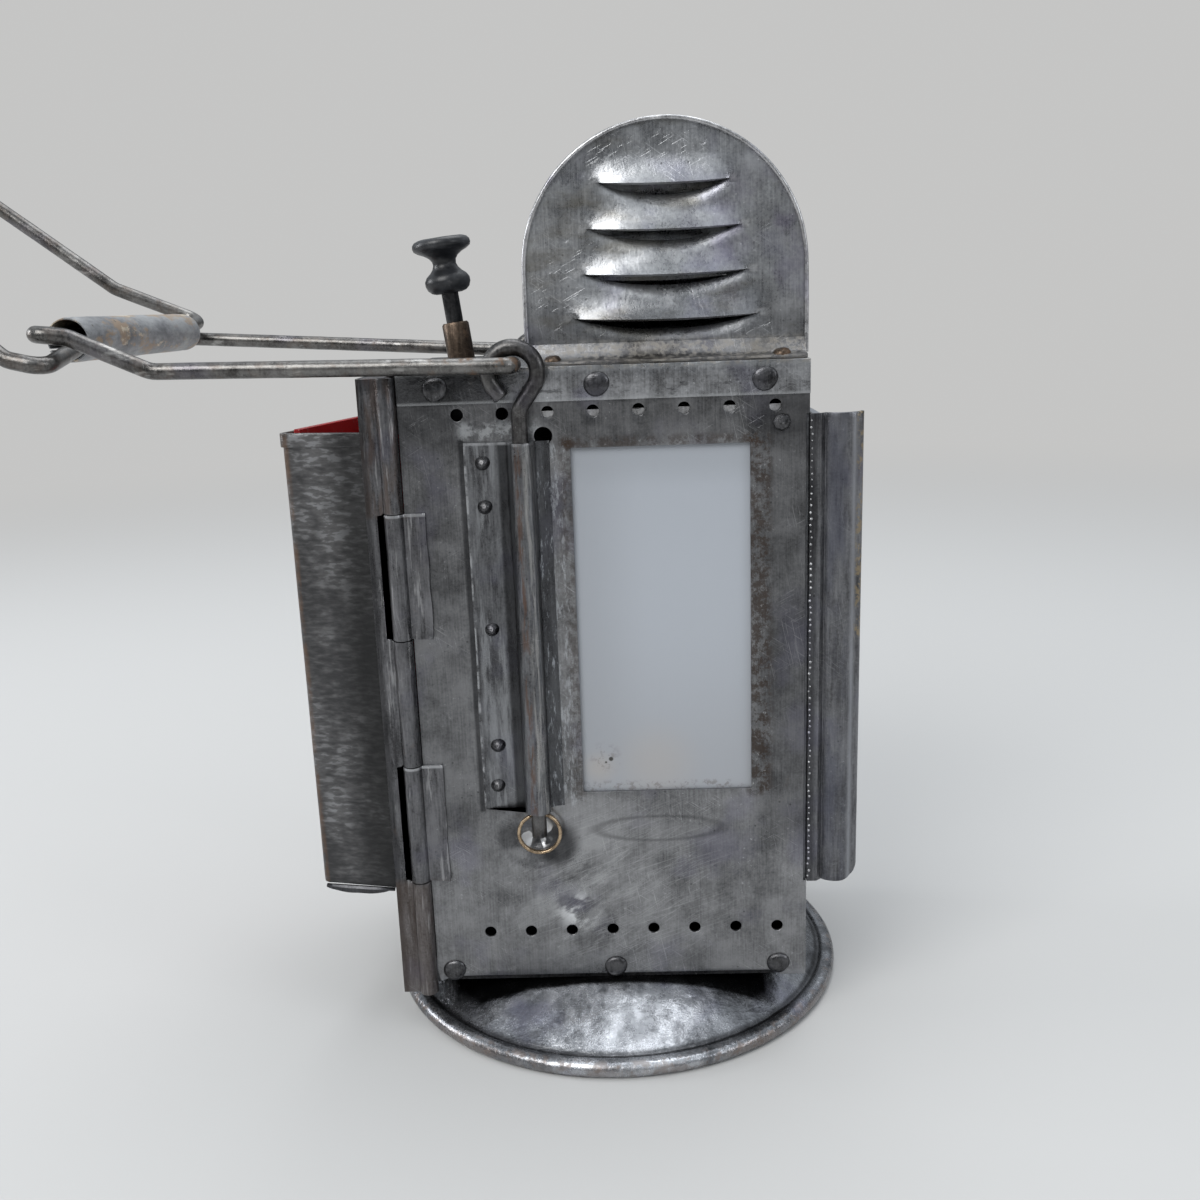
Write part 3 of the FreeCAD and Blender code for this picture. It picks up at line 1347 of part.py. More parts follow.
def make_burner():
    body = start_body("burner_body")
    add_turned(body, "burner", [[
        ("0", "0"),
        ("burner_radius", "0"),
        ("burner_radius", "burner_rim",
         "(burner_radius + burner_crown_radius) / 2 + burner_rim / 3",
         "(burner_rim + burner_height) / 2 + burner_rim / 3"),
        ("burner_crown_radius", "burner_height"),
        ("0", "burner_height"),
    ]])
    place(body, "font_offset", "font_rear", burner_foot)
    slot = box("wick_slot", "font_offset - wick_half_width - running_gap",
               "font_rear - wick_half_thickness - running_gap", f"{burner_foot} - cut_overrun",
               "2 * (wick_half_width + running_gap)",
               "2 * (wick_half_thickness + running_gap)", "burner_height + 2 * cut_overrun")
    bore = cylinder("shaft_bore", "font_offset - burner_radius - cut_overrun", shaft_rear,
                    f"{burner_foot} + wheel_level", "shaft_radius + running_gap",
                    "burner_radius + cut_overrun + spur_width", "X")
    well = cylinder("spur_well", "font_offset - spur_width / 2 - free_gap", shaft_rear,
                    f"{burner_foot} + wheel_level", "spur_radius + running_gap",
                    "spur_width + 2 * free_gap", "X")
    node(cut("burner", body, [slot, bore, well]), "burner")
    node(box("wick", "font_offset - wick_half_width", "font_rear - wick_half_thickness",
             f"{burner_foot} - wick_depth", "2 * wick_half_width", "2 * wick_half_thickness",
             "wick_depth + burner_height + wick_proud"), "wick")
    level = f"{burner_foot} + wheel_level"
    shaft = cylinder("wheel_shaft", "font_offset + spur_width / 2 - shaft_length", shaft_rear,
                     level, "shaft_radius", "shaft_length", "X")
    spur = cylinder("wheel_spur", "font_offset - spur_width / 2", shaft_rear, level,
                    "spur_radius", "spur_width", "X")
    thumb = cylinder("wheel_thumb", "font_offset + spur_width / 2 - shaft_length - thumb_width",
                     shaft_rear, level, "thumb_radius", "thumb_width", "X")
    node(fuse("wick_wheel", [shaft, spur, thumb]), "wick_wheel")


def make_reflector():
    body = start_body("reflector")
    add_turned(body, "reflector", [[
        ("0", "0", "reflector_radius / 2", "0.22 * reflector_dish"),
        ("reflector_radius", "reflector_dish"),
        ("reflector_radius", "reflector_dish + sheet_gauge",
         "reflector_radius / 2", "0.22 * reflector_dish + sheet_gauge"),
        ("0", "sheet_gauge"),
    ]])
    body.Placement = Placement(Vector(), turns["-Y"])
    place(body, "font_offset", "reflector_front + reflector_dish", "reflector_level")
    node(body, "reflector")
    back = "reflector_front + reflector_dish"
    wall = "body_half_depth - sheet_gauge"
    arm = box("strap_arm", "font_offset - reflector_strap / 2", back, "reflector_level",
              "reflector_strap", f"{wall} - ({back})", "sheet_gauge")
    foot = box("strap_foot", "font_offset - reflector_strap / 2", f"{wall} - sheet_gauge",
               "reflector_level", "reflector_strap", "sheet_gauge", "reflector_strap")
    node(fuse("reflector_strap", [arm, foot]), "reflector_strap")


def check_and_export():
    doc.recompute()
    for item in doc.Objects:
        if "Invalid" in item.State or "Error" in item.State:
            raise RuntimeError(f"{item.Name} did not build: {item.State}")
    os.makedirs("parts", exist_ok=True)
    for item in nodes:
        if item.Shape.isNull() or not item.Shape.isValid():
            raise RuntimeError(f"{item.Label} has no valid shape")
        item.Shape.exportStep(f"parts/{item.Label}.step")
        print(item.Label, len(item.Shape.Solids), round(item.Shape.Volume, 1))


fill_sheet()
make_base_pan()
make_rim_wire()
make_bottom_plate()
make_rivets()
make_body_floor()
make_front_wall()
make_rear_wall()
make_right_wall()
make_roof_plate()
make_hood_vault()
make_hood_panel("front")
make_hood_panel("rear")
make_hood_rivets()
make_hinge_straps()
make_hinge_pin()
make_door()
make_glass_pocket()
make_red_slide()
make_right_wing()
for side in ("front", "rear"):
    make_sleeve(side)
    make_rod(side)
make_lower_bail()
make_upper_bail()
make_hand_grip()
make_key()
make_spring_bracket()
make_front_pane()
make_shutter_screen()
make_shutter_plate()
make_font()
make_burner()
make_reflector()
check_and_export()
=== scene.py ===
import math
import random
import bmesh
import bpy
from mathutils import Matrix, Vector, noise


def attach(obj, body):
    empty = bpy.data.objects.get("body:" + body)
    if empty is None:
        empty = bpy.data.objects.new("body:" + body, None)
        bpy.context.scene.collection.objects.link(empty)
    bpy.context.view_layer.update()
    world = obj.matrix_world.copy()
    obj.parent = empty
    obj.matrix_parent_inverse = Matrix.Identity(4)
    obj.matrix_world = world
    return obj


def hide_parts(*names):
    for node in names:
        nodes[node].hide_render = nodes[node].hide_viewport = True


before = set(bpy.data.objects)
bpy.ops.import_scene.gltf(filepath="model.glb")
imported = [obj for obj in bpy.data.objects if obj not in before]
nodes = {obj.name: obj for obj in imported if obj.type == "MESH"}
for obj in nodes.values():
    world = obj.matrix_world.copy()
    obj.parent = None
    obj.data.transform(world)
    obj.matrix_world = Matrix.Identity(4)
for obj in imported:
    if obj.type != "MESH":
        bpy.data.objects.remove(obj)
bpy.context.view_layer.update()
mm = 0.001
random.seed(7)

# camera at the photograph's angle, millimetres and degrees
cameraPlace = Vector((7.53, -370.71, 214.97))
yaw, pitch, roll = (math.radians(a) for a in (-1.49, 13.91, -1.99))
ahead = Vector((math.sin(yaw) * math.cos(pitch), math.cos(yaw) * math.cos(pitch), -math.sin(pitch)))
rightward = Vector((math.cos(yaw), -math.sin(yaw), 0))
upward = rightward.cross(ahead)
right = math.cos(roll) * rightward + math.sin(roll) * upward
up = -math.sin(roll) * rightward + math.cos(roll) * upward
cameraData = bpy.data.cameras.new("camera")
cameraData.sensor_width = 36
cameraData.lens = 36
cameraData.clip_start = 0.01
cameraObject = bpy.data.objects.new("camera", cameraData)
bpy.context.collection.objects.link(cameraObject)
turned = Matrix((right, up, -ahead)).transposed().to_4x4()
cameraObject.matrix_world = Matrix.Translation(cameraPlace * mm) @ turned
bpy.context.scene.camera = cameraObject
bpy.context.scene.view_settings.view_transform = "Standard"
print("camera set")


# shader sums: a Val is a socket in a material, and plain operators make the maths nodes

class Val:
    def __init__(self, shader, socket):
        self.shader, self.socket = shader, socket

    def mathNode(self, kind, other=None, third=None, clamp=False):
        inputs = [item for item in (self, other, third) if item is not None]
        return self.shader.make("ShaderNodeMath", dict(enumerate(inputs)),
                                operation=kind, use_clamp=clamp)

    def __add__(self, other):
        return self.mathNode("ADD", other)

    def __sub__(self, other):
        return self.mathNode("SUBTRACT", other)

    def __mul__(self, other):
        return self.mathNode("MULTIPLY", other)

    def __rsub__(self, other):
        return (self * -1) + other

    __radd__, __rmul__ = __add__, __mul__

    # 0 below low, 1 above high, smooth between
    def over(self, low, high):
        return self.shader.make("ShaderNodeMapRange",
                                {"Value": self, "From Min": low, "From Max": high},
                                interpolation_type="SMOOTHSTEP")

    def clamped(self):
        return self.mathNode("ADD", 0.0, clamp=True)

    def size(self):
        return self.mathNode("ABSOLUTE")


class Shader:
    def __init__(self, name):
        self.material = bpy.data.materials.new(name)
        self.material.use_nodes = True
        self.tree = self.material.node_tree
        self.bsdf = self.tree.nodes["Principled BSDF"]
        place = self.make("ShaderNodeTexCoord", out="Object")
        self.place = self.make("ShaderNodeVectorMath", {0: place, "Scale": 1 / mm},
                               operation="SCALE")
        parts = self.make("ShaderNodeSeparateXYZ", {0: self.place}, out=None)
        self.x, self.y, self.z = (Val(self, socket) for socket in parts.outputs)

    def make(self, kind, inputs=None, out=0, **settings):
        item = self.tree.nodes.new(kind)
        for key, value in settings.items():
            setattr(item, key, value)
        for key, value in (inputs or {}).items():
            if isinstance(value, Val):
                self.tree.links.new(value.socket, item.inputs[key])
            elif value is not None:
                item.inputs[key].default_value = value
        return item if out is None else Val(self, item.outputs[out])

    # noise from 0 to 1 with a period in millimetres, stretched along the axes and then turned
    def noise(self, period, detail=4.0, rough=0.55, stretch=(1, 1, 1), shift=0.0, turn=(0, 0, 0)):
        point = self.make("ShaderNodeMapping", {
            "Vector": self.place,
            "Location": (shift * 9.1, shift * 5.3, shift * 7.7),
            "Rotation": turn,
            "Scale": tuple(period * s for s in stretch),
        }, vector_type="TEXTURE")
        return self.make("ShaderNodeTexNoise", {
            "Vector": point, "Scale": 1.0, "Detail": detail, "Roughness": rough})

    def cells(self, period, feature="F1", out="Distance", shift=0.0):
        point = self.make("ShaderNodeMapping", {
            "Vector": self.place, "Location": (shift, shift, shift),
            "Scale": (1 / period,) * 3})
        return self.make("ShaderNodeTexVoronoi", {"Vector": point, "Scale": 1.0},
                         out=out, feature=feature)

    # thin scratches in one direction: 1 on a line, 0 elsewhere
    def lines(self, length, width, turn, shift, low, high):
        bent = self.noise(1, 1.0, 0.5, (length, length, width), shift, turn)
        return bent.over(low, high)

    def mix(self, first, second, factor):
        node = self.make("ShaderNodeMix", {}, out=None, data_type="RGBA")
        for key, value in (("A", first), ("B", second)):
            socket = [s for s in node.inputs if s.name == key and s.type == "RGBA"][0]
            if isinstance(value, Val):
                self.tree.links.new(value.socket, socket)
            else:
                socket.default_value = (*value, 1.0)
        if isinstance(factor, Val):
            self.tree.links.new(factor.socket, node.inputs[0])
        else:
            node.inputs[0].default_value = factor
        return Val(self, [s for s in node.outputs if s.type == "RGBA"][0])

    # 1 inside a box of the lamp's own millimetres, fading out over soft
    def block(self, low, high, soft):
        total = None
        for axis, a, b in zip((self.x, self.y, self.z), low, high):
            for edge in ((axis - a) if a is not None else None,
                         (b - axis) if b is not None else None):
                if edge is None:
                    continue
                face = edge.over(-soft / 2, soft / 2)
                total = face if total is None else total * face
        return total

    def ball(self, centre, radius, soft):
        away = self.make("ShaderNodeVectorMath", {0: self.place, 1: centre},
                         out="Value", operation="DISTANCE")
        return 1 - away.over(radius - soft, radius)

    def put(self, **values):
        for key, value in values.items():
            name = {"color": "Base Color", "rough": "Roughness", "metal": "Metallic",
                    "coat": "Coat Weight", "coatRough": "Coat Roughness",
                    "through": "Transmission Weight", "ior": "IOR",
                    "glow": "Emission Color", "glowStrength": "Emission Strength",
                    "shine": "Specular IOR Level"}[key]
            if isinstance(value, Val):
                self.tree.links.new(value.socket, self.bsdf.inputs[name])
            elif name in ("Base Color", "Emission Color"):
                self.bsdf.inputs[name].default_value = (*value, 1.0)
            else:
                self.bsdf.inputs[name].default_value = value

    def bump(self, height, strength, distance):
        self.tree.links.new(
            self.make("ShaderNodeBump", {
                "Height": height, "Strength": strength, "Distance": distance * mm},
                out="Normal").socket,
            self.bsdf.inputs["Normal"])


rustTone = (0.075, 0.04, 0.022)
crustTone = (0.4, 0.37, 0.33)


# old sheet or wire: a cloudy patina, soft waves that break up its gloss, scratches and rust
def wornMetal(name, dark, light, rough=(0.26, 0.42), scratch=0.3, rust=0.1, blotch=24,
              marks=None, waves=0.16, metalness=0.92, grain=0.4, streak=(1, 1, 1)):
    s = Shader(name)
    wide = s.noise(blotch, 4, 0.6, streak)
    mid = s.noise(blotch / 4, 5, 0.65, streak, 11)
    fine = s.noise(0.8, 3, 0.7, (1, 1, 1), 5)
    brushed = s.noise(0.45, 3, 0.6, (1, 1, 26), 15)
    patina = (wide * 0.38 + mid * 0.3 + fine * 0.16 + brushed * 0.16).over(0.37, 0.62)
    color = s.mix(dark, light, patina)
    oxide = s.noise(17, 3, 0.5, (1, 1, 1), 33)
    color = s.mix(color, tuple(c * t for c, t in zip(light, (0.62, 0.6, 0.78))),
                  oxide.over(0.52, 0.7) * 0.4)
    strokes = s.lines(9, 0.2, (0.2, 0.6, 0), 3, 0.68, 0.73)
    strokes = strokes + s.lines(7, 0.16, (0, -0.5, 0.3), 31, 0.69, 0.74)
    strokes = strokes + s.lines(13, 0.22, (0, 1.35, 0), 57, 0.68, 0.74)
    strokes = (strokes * s.noise(26, 3, 0.6, (1, 1, 1), 71).over(0.48, 0.6)).clamped()
    brighter = tuple(min(1.0, c * 1.9 + 0.06) for c in light)
    color = s.mix(color, brighter, strokes * scratch)
    specks = s.cells(2.7).over(0.15, 0.06) * s.noise(12, 3, 0.6, (1, 1, 1), 91).over(0.52, 0.62)
    color = s.mix(color, tuple(c * 0.3 for c in dark), specks * 0.6)
    salt = s.noise(1.0, 4, 0.75, (1, 1, 1), 19).over(0.62, 0.68) * mid.over(0.48, 0.6)
    color = s.mix(color, brighter, salt * 0.5)
    corrosion = s.noise(8, 6, 0.7, (1, 1, 1), 23).over(0.66 - rust * 0.3, 0.78 - rust * 0.2)
    corrosion = corrosion * min(1.0, rust * 3)
    roughness = rough[0] + (patina * 0.6 + fine * 0.4) * (rough[1] - rough[0])
    if marks:
        color, corrosion, roughness = marks(s, color, corrosion, roughness)
    corrosion = corrosion.clamped()
    color = s.mix(color, s.mix(rustTone, (0.17, 0.1, 0.055), fine), corrosion)
    s.put(color=color, rough=(roughness + corrosion * 0.25 + salt * 0.1).clamped(),
          metal=metalness - corrosion * 0.6)
    height = s.noise(19, 2, 0.45, (1, 1, 1), 7) * (waves * 22) + mid * (waves * 5)
    height = height + fine * (grain * 0.16) + brushed * (grain * 0.1) - strokes * 0.03
    s.bump(height - specks * 0.06 + corrosion * 0.05, 1.0, 0.4)
    return s.material


# marks that belong to one place on the lamp

def frontMarks(s, color, corrosion, roughness):
    rubbed = s.ball((-6, -43, 44), 44, 38) * s.noise(13, 5, 0.65, (1.6, 1, 0.7), 41,
                                                     (0, -0.6, 0)).over(0.4, 0.6)
    swirls = s.lines(14, 0.35, (0, -0.6, 0), 13, 0.6, 0.68)
    swirls = swirls + s.lines(20, 0.28, (0, -0.33, 0), 27, 0.6, 0.68)
    swirls = swirls * s.ball((4, -43, 44), 44, 28)
    color = s.mix(color, (0.5, 0.505, 0.515), (rubbed * 0.44 + swirls * 0.24).clamped())
    patch = s.ball((-11, -43, 38), 9, 8) * s.noise(5, 4, 0.6, (2, 1, 1), 52, (0, -0.6, 0)).over(
        0.44, 0.6)
    color = s.mix(color, (0.8, 0.81, 0.83), patch)
    shade = s.block((43, None, 60), (None, None, 190), 9) * 0.36
    shade = shade + s.block((None, None, 176), (None, None, None), 9) * 0.3
    shade = shade + s.block((None, None, 62), (-38, None, None), 12) * 0.3
    color = s.mix(color, (0.018, 0.018, 0.02), shade.clamped())
    near = s.block((40.5, None, 74), (47, None, 179), 3)
    near = near + s.block((-10, None, 176.4), (44, None, 179.5), 2) * 0.7
    near = near + s.block((-11, None, 72), (-6.8, None, 180), 3) * 0.6
    pits = near * s.noise(2.2, 5, 0.75, (1, 1, 1), 17).over(0.42, 0.58)
    color = s.mix(color, (0.022, 0.02, 0.02), pits * 0.75)
    white = near * s.noise(1.6, 5, 0.75, (1, 1, 1), 47).over(0.62, 0.69)
    color = s.mix(color, (0.5, 0.51, 0.52), white * 0.55)
    oval = s.make("ShaderNodeVectorMath", {0: s.make("ShaderNodeVectorMath", {
        0: s.place, 1: (-14, 0, -64)}, operation="ADD"), 1: (0.055, 0, 0.26)},
        operation="MULTIPLY")
    ringAway = s.make("ShaderNodeVectorMath", {0: oval}, out="Value", operation="LENGTH")
    outline = ringAway.over(0.8, 0.98) * (1 - ringAway.over(1.0, 1.2))
    color = s.mix(color, (0.04, 0.04, 0.042), outline * 0.4)
    shadow = s.ball((-17.2, -43, 60), 9.5, 5) + s.ball((-30, -43, 62), 6, 4) * 0.6
    color = s.mix(color, (0.012, 0.012, 0.014), shadow.clamped() * 0.75)
    # painted highlight: bright facets of the dent inside the ring
    facetHighlight = s.ball((-22.5, -41, 63.2), 6.4, 1.6) * s.noise(
        3.6, 1, 0.4, (1, 1, 1.8), 39, (0, 0.5, 0)).over(0.49, 0.53)
    color = s.mix(color, (0.82, 0.83, 0.85), facetHighlight * 0.85)
    # painted shadow line along the sleeve plate's left edge
    beside = s.block((-38.4, None, 70.5), (-36.7, None, 180), 0.9)
    color = s.mix(color, (0.012, 0.012, 0.014), beside * 0.7)
    solder = s.block((-14, None, 72), (-9.6, None, 178), 2.2) * s.noise(
        1.6, 5, 0.75, (1, 1, 4), 36).over(0.5, 0.62)
    color = s.mix(color, (0.6, 0.63, 0.67), solder * 0.4)
    pale = s.block((-38, None, 179.3), (-16, None, 184.5), 3) * s.noise(
        3.4, 5, 0.7, (1, 1, 1), 53).over(0.42, 0.6)
    color = s.mix(color, (0.6, 0.62, 0.64), pale * 0.5)
    # painted highlight along the sheet's bottom lip
    hem = s.block((None, None, None), (None, None, 16.6), 1.6)
    color = s.mix(color, (0.3, 0.31, 0.33), hem * 0.45)
    return color, corrosion + pits * 0.2, roughness + pits * 0.15 - rubbed * 0.04


def bandMarks(s, color, corrosion, roughness):
    left = s.block((None, None, None), (-22, None, None), 16)
    color = s.mix(color, (0.012, 0.012, 0.013), left * 0.8)
    wear = s.noise(3.4, 5, 0.7, (3, 1, 1), 61).over(0.56, 0.64)
    color = s.mix(color, (0.02, 0.02, 0.022), wear * 0.55)
    edge = s.block((None, None, 197.3), (None, None, None), 1.2)
    edge = edge + s.block((None, None, None), (None, None, 190.2), 0.8)
    color = s.mix(color, (0.42, 0.43, 0.44), edge * 0.4)
    crust = s.block((-20, None, 197.9), (62, None, 200), 1.0)
    crust = crust * s.noise(2.0, 5, 0.75, (1, 1, 1), 12).over(0.48, 0.58)
    color = s.mix(color, crustTone, crust * 0.6)
    return color, corrosion, roughness - left * 0.08


def hoodMarks(s, color, corrosion, roughness):
    low = s.block((None, None, None), (None, None, 204.5), 3)
    crust = low * s.noise(1.9, 5, 0.75, (1, 1, 1), 12).over(0.46, 0.58)
    color = s.mix(color, (0.55, 0.53, 0.49), crust * 0.75)
    warm = s.noise(15, 4, 0.55, (1.5, 1, 0.6), 77).over(0.52, 0.7)
    color = s.mix(color, (0.17, 0.15, 0.105), warm * 0.45)
    violet = s.ball((44, -37, 232), 26, 22) * s.noise(9, 3, 0.5, (1, 1, 1), 63).over(0.4, 0.65)
    color = s.mix(color, (0.2, 0.17, 0.27), violet * 0.4)
    dull = s.block((None, None, None), (None, None, 214), 14) * 0.4
    color = s.mix(color, (0.05, 0.05, 0.053), dull)
    return color, corrosion + low * 0.1, roughness + crust * 0.3


def baseMarks(s, color, corrosion, roughness):
    radial = s.make("ShaderNodeVectorMath", {0: s.place, 1: (1, 1, 0)}, operation="MULTIPLY")
    away = s.make("ShaderNodeVectorMath", {0: radial}, out="Value", operation="LENGTH")
    # painted highlight: a bright reflection on the dome in front of the lamp, broken up by the
    # hammered dents
    front = s.ball((6, -58, 8), 34, 22)
    hammered = s.noise(7, 3, 0.5, (0.8, 1.6, 1), 15).over(0.36, 0.66)
    dimples = s.noise(1.6, 3, 0.6, (1, 1, 1), 25).over(0.4, 0.66)
    color = s.mix(color, (0.78, 0.8, 0.84), front * (hammered * 0.66 + dimples * 0.14))
    # painted shadow on the base under the front sheet's bottom edge
    under = s.block((-50, -45, None), (46, None, None), 1.6) * (1 - away.over(60, 64))
    color = s.mix(color, (0.004, 0.004, 0.004), under * 0.95)
    # painted shade in the groove inside the bead
    grooveShade = away.over(65.2, 66.6) * (1 - away.over(68, 69))
    color = s.mix(color, (0.025, 0.025, 0.027), grooveShade * 0.75)
    bead = away.over(69, 71) * s.noise(3.2, 5, 0.7, (1, 1, 1), 8).over(0.5, 0.62)
    worn = away.over(71.4, 72.4) * s.noise(14, 4, 0.6, (1, 1, 1), 88).over(0.4, 0.6)
    color = s.mix(color, (0.27, 0.235, 0.22), worn * 0.6)
    return color, corrosion + bead * 0.45, roughness


def wingMarks(s, color, corrosion, roughness):
    ridge = s.block((69.2, None, None), (70.4, None, None), 1.4)
    color = s.mix(color, (0.36, 0.37, 0.4), ridge * 0.6)
    bluish = s.block((62.5, None, None), (68.5, None, None), 3) * s.noise(
        12, 4, 0.6, (1, 1, 3), 21).over(0.4, 0.62)
    color = s.mix(color, (0.1, 0.105, 0.14), bluish * 0.5)
    outer = s.block((70.6, None, 120), (None, None, None), 1.4)
    crumbs = outer * s.noise(2.4, 5, 0.75, (1, 1, 1), 29).over(0.5, 0.58)
    color = s.mix(color, (0.4, 0.33, 0.2), crumbs * 0.6)
    # painted shade in the corner where the wing meets the wall
    rootShade = s.block((None, None, None), (59.5, None, None), 1.5)
    color = s.mix(color, (0.02, 0.02, 0.022), rootShade * 0.6)
    return color, corrosion + crumbs * 0.3, roughness


def hingeMarks(s, color, corrosion, roughness):
    high = s.block((None, None, 159), (None, None, None), 2)
    brown = high * s.noise(6, 4, 0.6, (0.5, 0.5, 3), 33).over(0.4, 0.6)
    color = s.mix(color, (0.1, 0.07, 0.055), brown * 0.6)
    # painted reflection: pale vertical highlight streaks on the straps
    pale = s.noise(1.4, 4, 0.6, (1, 1, 12), 9).over(0.58, 0.68)
    color = s.mix(color, (0.5, 0.5, 0.51), pale * 0.4)
    # painted highlight along each strap's top edge
    for level in (85.4, 159.7):
        tip = s.block((-60, None, level - 0.5), (None, None, level + 0.6), 0.5)
        color = s.mix(color, (0.6, 0.61, 0.63), tip * 0.5)
    far = s.block((None, None, None), (-63.4, None, None), 1.4)
    color = s.mix(color, (0.02, 0.02, 0.021), far * 0.6)
    return color, corrosion + s.block((None, None, None), (None, None, 49), 3) * 0.25, roughness


def tubeMarks(s, color, corrosion, roughness):
    crest = s.block((-22.6, None, None), (-20.9, None, None), 1.3)
    brown = crest * s.noise(1.6, 5, 0.7, (1, 1, 6), 33).over(0.46, 0.58)
    color = s.mix(color, (0.11, 0.062, 0.045), brown * 0.7)
    flank = s.block((-20.4, None, None), (-17.6, None, None), 1.2)
    pale = flank * s.noise(1.1, 5, 0.7, (1, 1, 14), 9).over(0.42, 0.62)
    color = s.mix(color, (0.5, 0.49, 0.475), pale * 0.5)
    # painted shadow beside the tube's right flank, with real solder streaks over it
    foot = s.block((-17.4, None, None), (None, None, None), 0.6)
    color = s.mix(color, (0.03, 0.031, 0.034), foot * 0.55)
    color = s.mix(color, (0.5, 0.53, 0.57), foot * s.noise(
        1.2, 5, 0.75, (1, 1, 5), 14).over(0.54, 0.66) * 0.5)
    # painted shade in the trough beside the tube
    trough = s.block((-27.6, None, None), (-24.6, None, None), 1)
    color = s.mix(color, (0.012, 0.012, 0.013), trough * 0.7)
    # painted highlight streaks on the sleeve plate
    plate = s.block((-35.5, None, None), (-28, None, None), 1.5) * s.noise(
        2.6, 5, 0.7, (1, 1, 9), 64).over(0.46, 0.6)
    color = s.mix(color, (0.34, 0.35, 0.365), plate * 0.5)
    # painted highlight along the plate's raised left edge and top
    rim = s.block((None, None, None), (-36.3, None, None), 0.5)
    rim = (rim + s.block((None, None, 178.3), (None, None, None), 0.6)).clamped()
    color = s.mix(color, (0.5, 0.51, 0.53), rim * s.noise(3, 4, 0.6).over(0.4, 0.6) * 0.6)
    return color, corrosion + brown * 0.15, roughness


def wireMarks(s, color, corrosion, roughness):
    near = s.ball((-22, -48, 198), 26, 14)
    patch = s.noise(5, 5, 0.7, (1, 1, 1), 44).over(0.5, 0.6) * (near * 0.7 + 0.15)
    glint = s.noise(3, 3, 0.6, (3, 3, 1), 66).over(0.58, 0.68)
    color = s.mix(color, (0.6, 0.59, 0.57), glint * 0.3)
    return color, corrosion + patch, roughness


looks = {
    "front": wornMetal("frontSheet", (0.085, 0.086, 0.089), (0.29, 0.292, 0.3), (0.24, 0.4), 0.4,
                       0.04, 32, frontMarks, 0.12),
    "sheet": wornMetal("plainSheet", (0.055, 0.056, 0.06), (0.19, 0.195, 0.205), (0.28, 0.46),
                       0.3, 0.1, 26),
    "plate": wornMetal("sleeveSheet", (0.045, 0.045, 0.048), (0.2, 0.205, 0.215), (0.22, 0.4),
                       0.3, 0.06, 14, tubeMarks, 0.16, streak=(0.6, 0.6, 2.4)),
    "hinge": wornMetal("hingeSheet", (0.04, 0.04, 0.042), (0.19, 0.19, 0.2), (0.22, 0.4), 0.3,
                       0.1, 13, hingeMarks, 0.16, streak=(0.6, 0.6, 2.6)),
    "band": wornMetal("roofBand", (0.09, 0.091, 0.094), (0.36, 0.366, 0.38), (0.22, 0.4), 0.3,
                      0.05, 16, bandMarks),
    "hood": wornMetal("hoodSheet", (0.16, 0.164, 0.172), (0.46, 0.47, 0.485), (0.22, 0.38), 0.35,
                      0.03, 34, hoodMarks, 0.1),
    "base": wornMetal("baseSheet", (0.09, 0.094, 0.102), (0.34, 0.352, 0.375), (0.18, 0.32), 0.25,
                      0.05, 18, baseMarks, 0.2),
    "wing": wornMetal("wingSheet", (0.05, 0.05, 0.053), (0.22, 0.223, 0.235), (0.26, 0.42),
                      0.25, 0.05, 18, wingMarks, 0.1, streak=(0.7, 0.7, 3)),
    "wire": wornMetal("bailWire", (0.055, 0.052, 0.05), (0.2, 0.195, 0.188), (0.22, 0.38), 0.2,
                      0.14, 12, wireMarks, 0.05),
    "rod": wornMetal("rodWire", (0.04, 0.038, 0.038), (0.15, 0.147, 0.145), (0.26, 0.44), 0.2,
                     0.2, 9, None, 0.05),
    "rivet": wornMetal("rivetSteel", (0.025, 0.025, 0.026), (0.12, 0.12, 0.125), (0.22, 0.38), 0.2,
                       0.06, 6, None, 0.05),
    "brown": wornMetal("brownSteel", (0.035, 0.026, 0.02), (0.13, 0.095, 0.07), (0.28, 0.46), 0.3,
                       0.4, 6, None, 0.05),
    "stem": wornMetal("stemSteel", (0.012, 0.012, 0.013), (0.05, 0.05, 0.052), (0.24, 0.4), 0.3,
                      0.05, 6, None, 0.05),
    "brass": wornMetal("oldBrass", (0.16, 0.11, 0.05), (0.5, 0.37, 0.16), (0.25, 0.42), 0.3,
                       0.05, 9),
    "ring": wornMetal("ringWire", (0.16, 0.11, 0.07), (0.55, 0.42, 0.28), (0.2, 0.34), 0.2, 0.1,
                      5, None, 0.02),
    "bright": wornMetal("reflectorMetal", (0.55, 0.56, 0.57), (0.85, 0.86, 0.87), (0.08, 0.2),
                        0.2, 0.02, 14),
    "rim": wornMetal("hoodRim", (0.22, 0.22, 0.225), (0.62, 0.62, 0.63), (0.24, 0.38), 0.3, 0.08,
                     10, None, 0.03),
}


def makePebbled():
    s = Shader("pocketSheet")
    wide = s.noise(26, 4, 0.6, (1, 1, 1.8))
    crease = s.noise(2.1, 3, 0.55, (1.9, 1.9, 0.62), 5)
    pebble = s.cells(1.3).over(0.1, 0.8)
    color = s.mix((0.055, 0.055, 0.057), (0.19, 0.188, 0.19),
                  (wide * 0.6 + crease * 0.4).over(0.36, 0.66))
    glint = crease.over(0.53, 0.6) * wide.over(0.4, 0.58)
    color = s.mix(color, (0.4, 0.41, 0.43), glint * 0.35)
    shade = s.block((-74.5, None, None), (None, None, None), 11)
    color = s.mix(color, (0.014, 0.014, 0.014), shade * 0.7)
    edge = s.block((None, None, None), (-86.6, -30, None), 1.2) * s.noise(
        5, 4, 0.7, (1, 1, 2), 8).over(0.36, 0.6)
    color = s.mix(color, (0.14, 0.085, 0.055), edge * 0.7)
    s.put(color=color, rough=0.3 + crease * 0.22, metal=0.8)
    s.bump(crease * 0.7 + pebble * 0.1 + wide * 1.2, 1.0, 0.32)
    return s.material


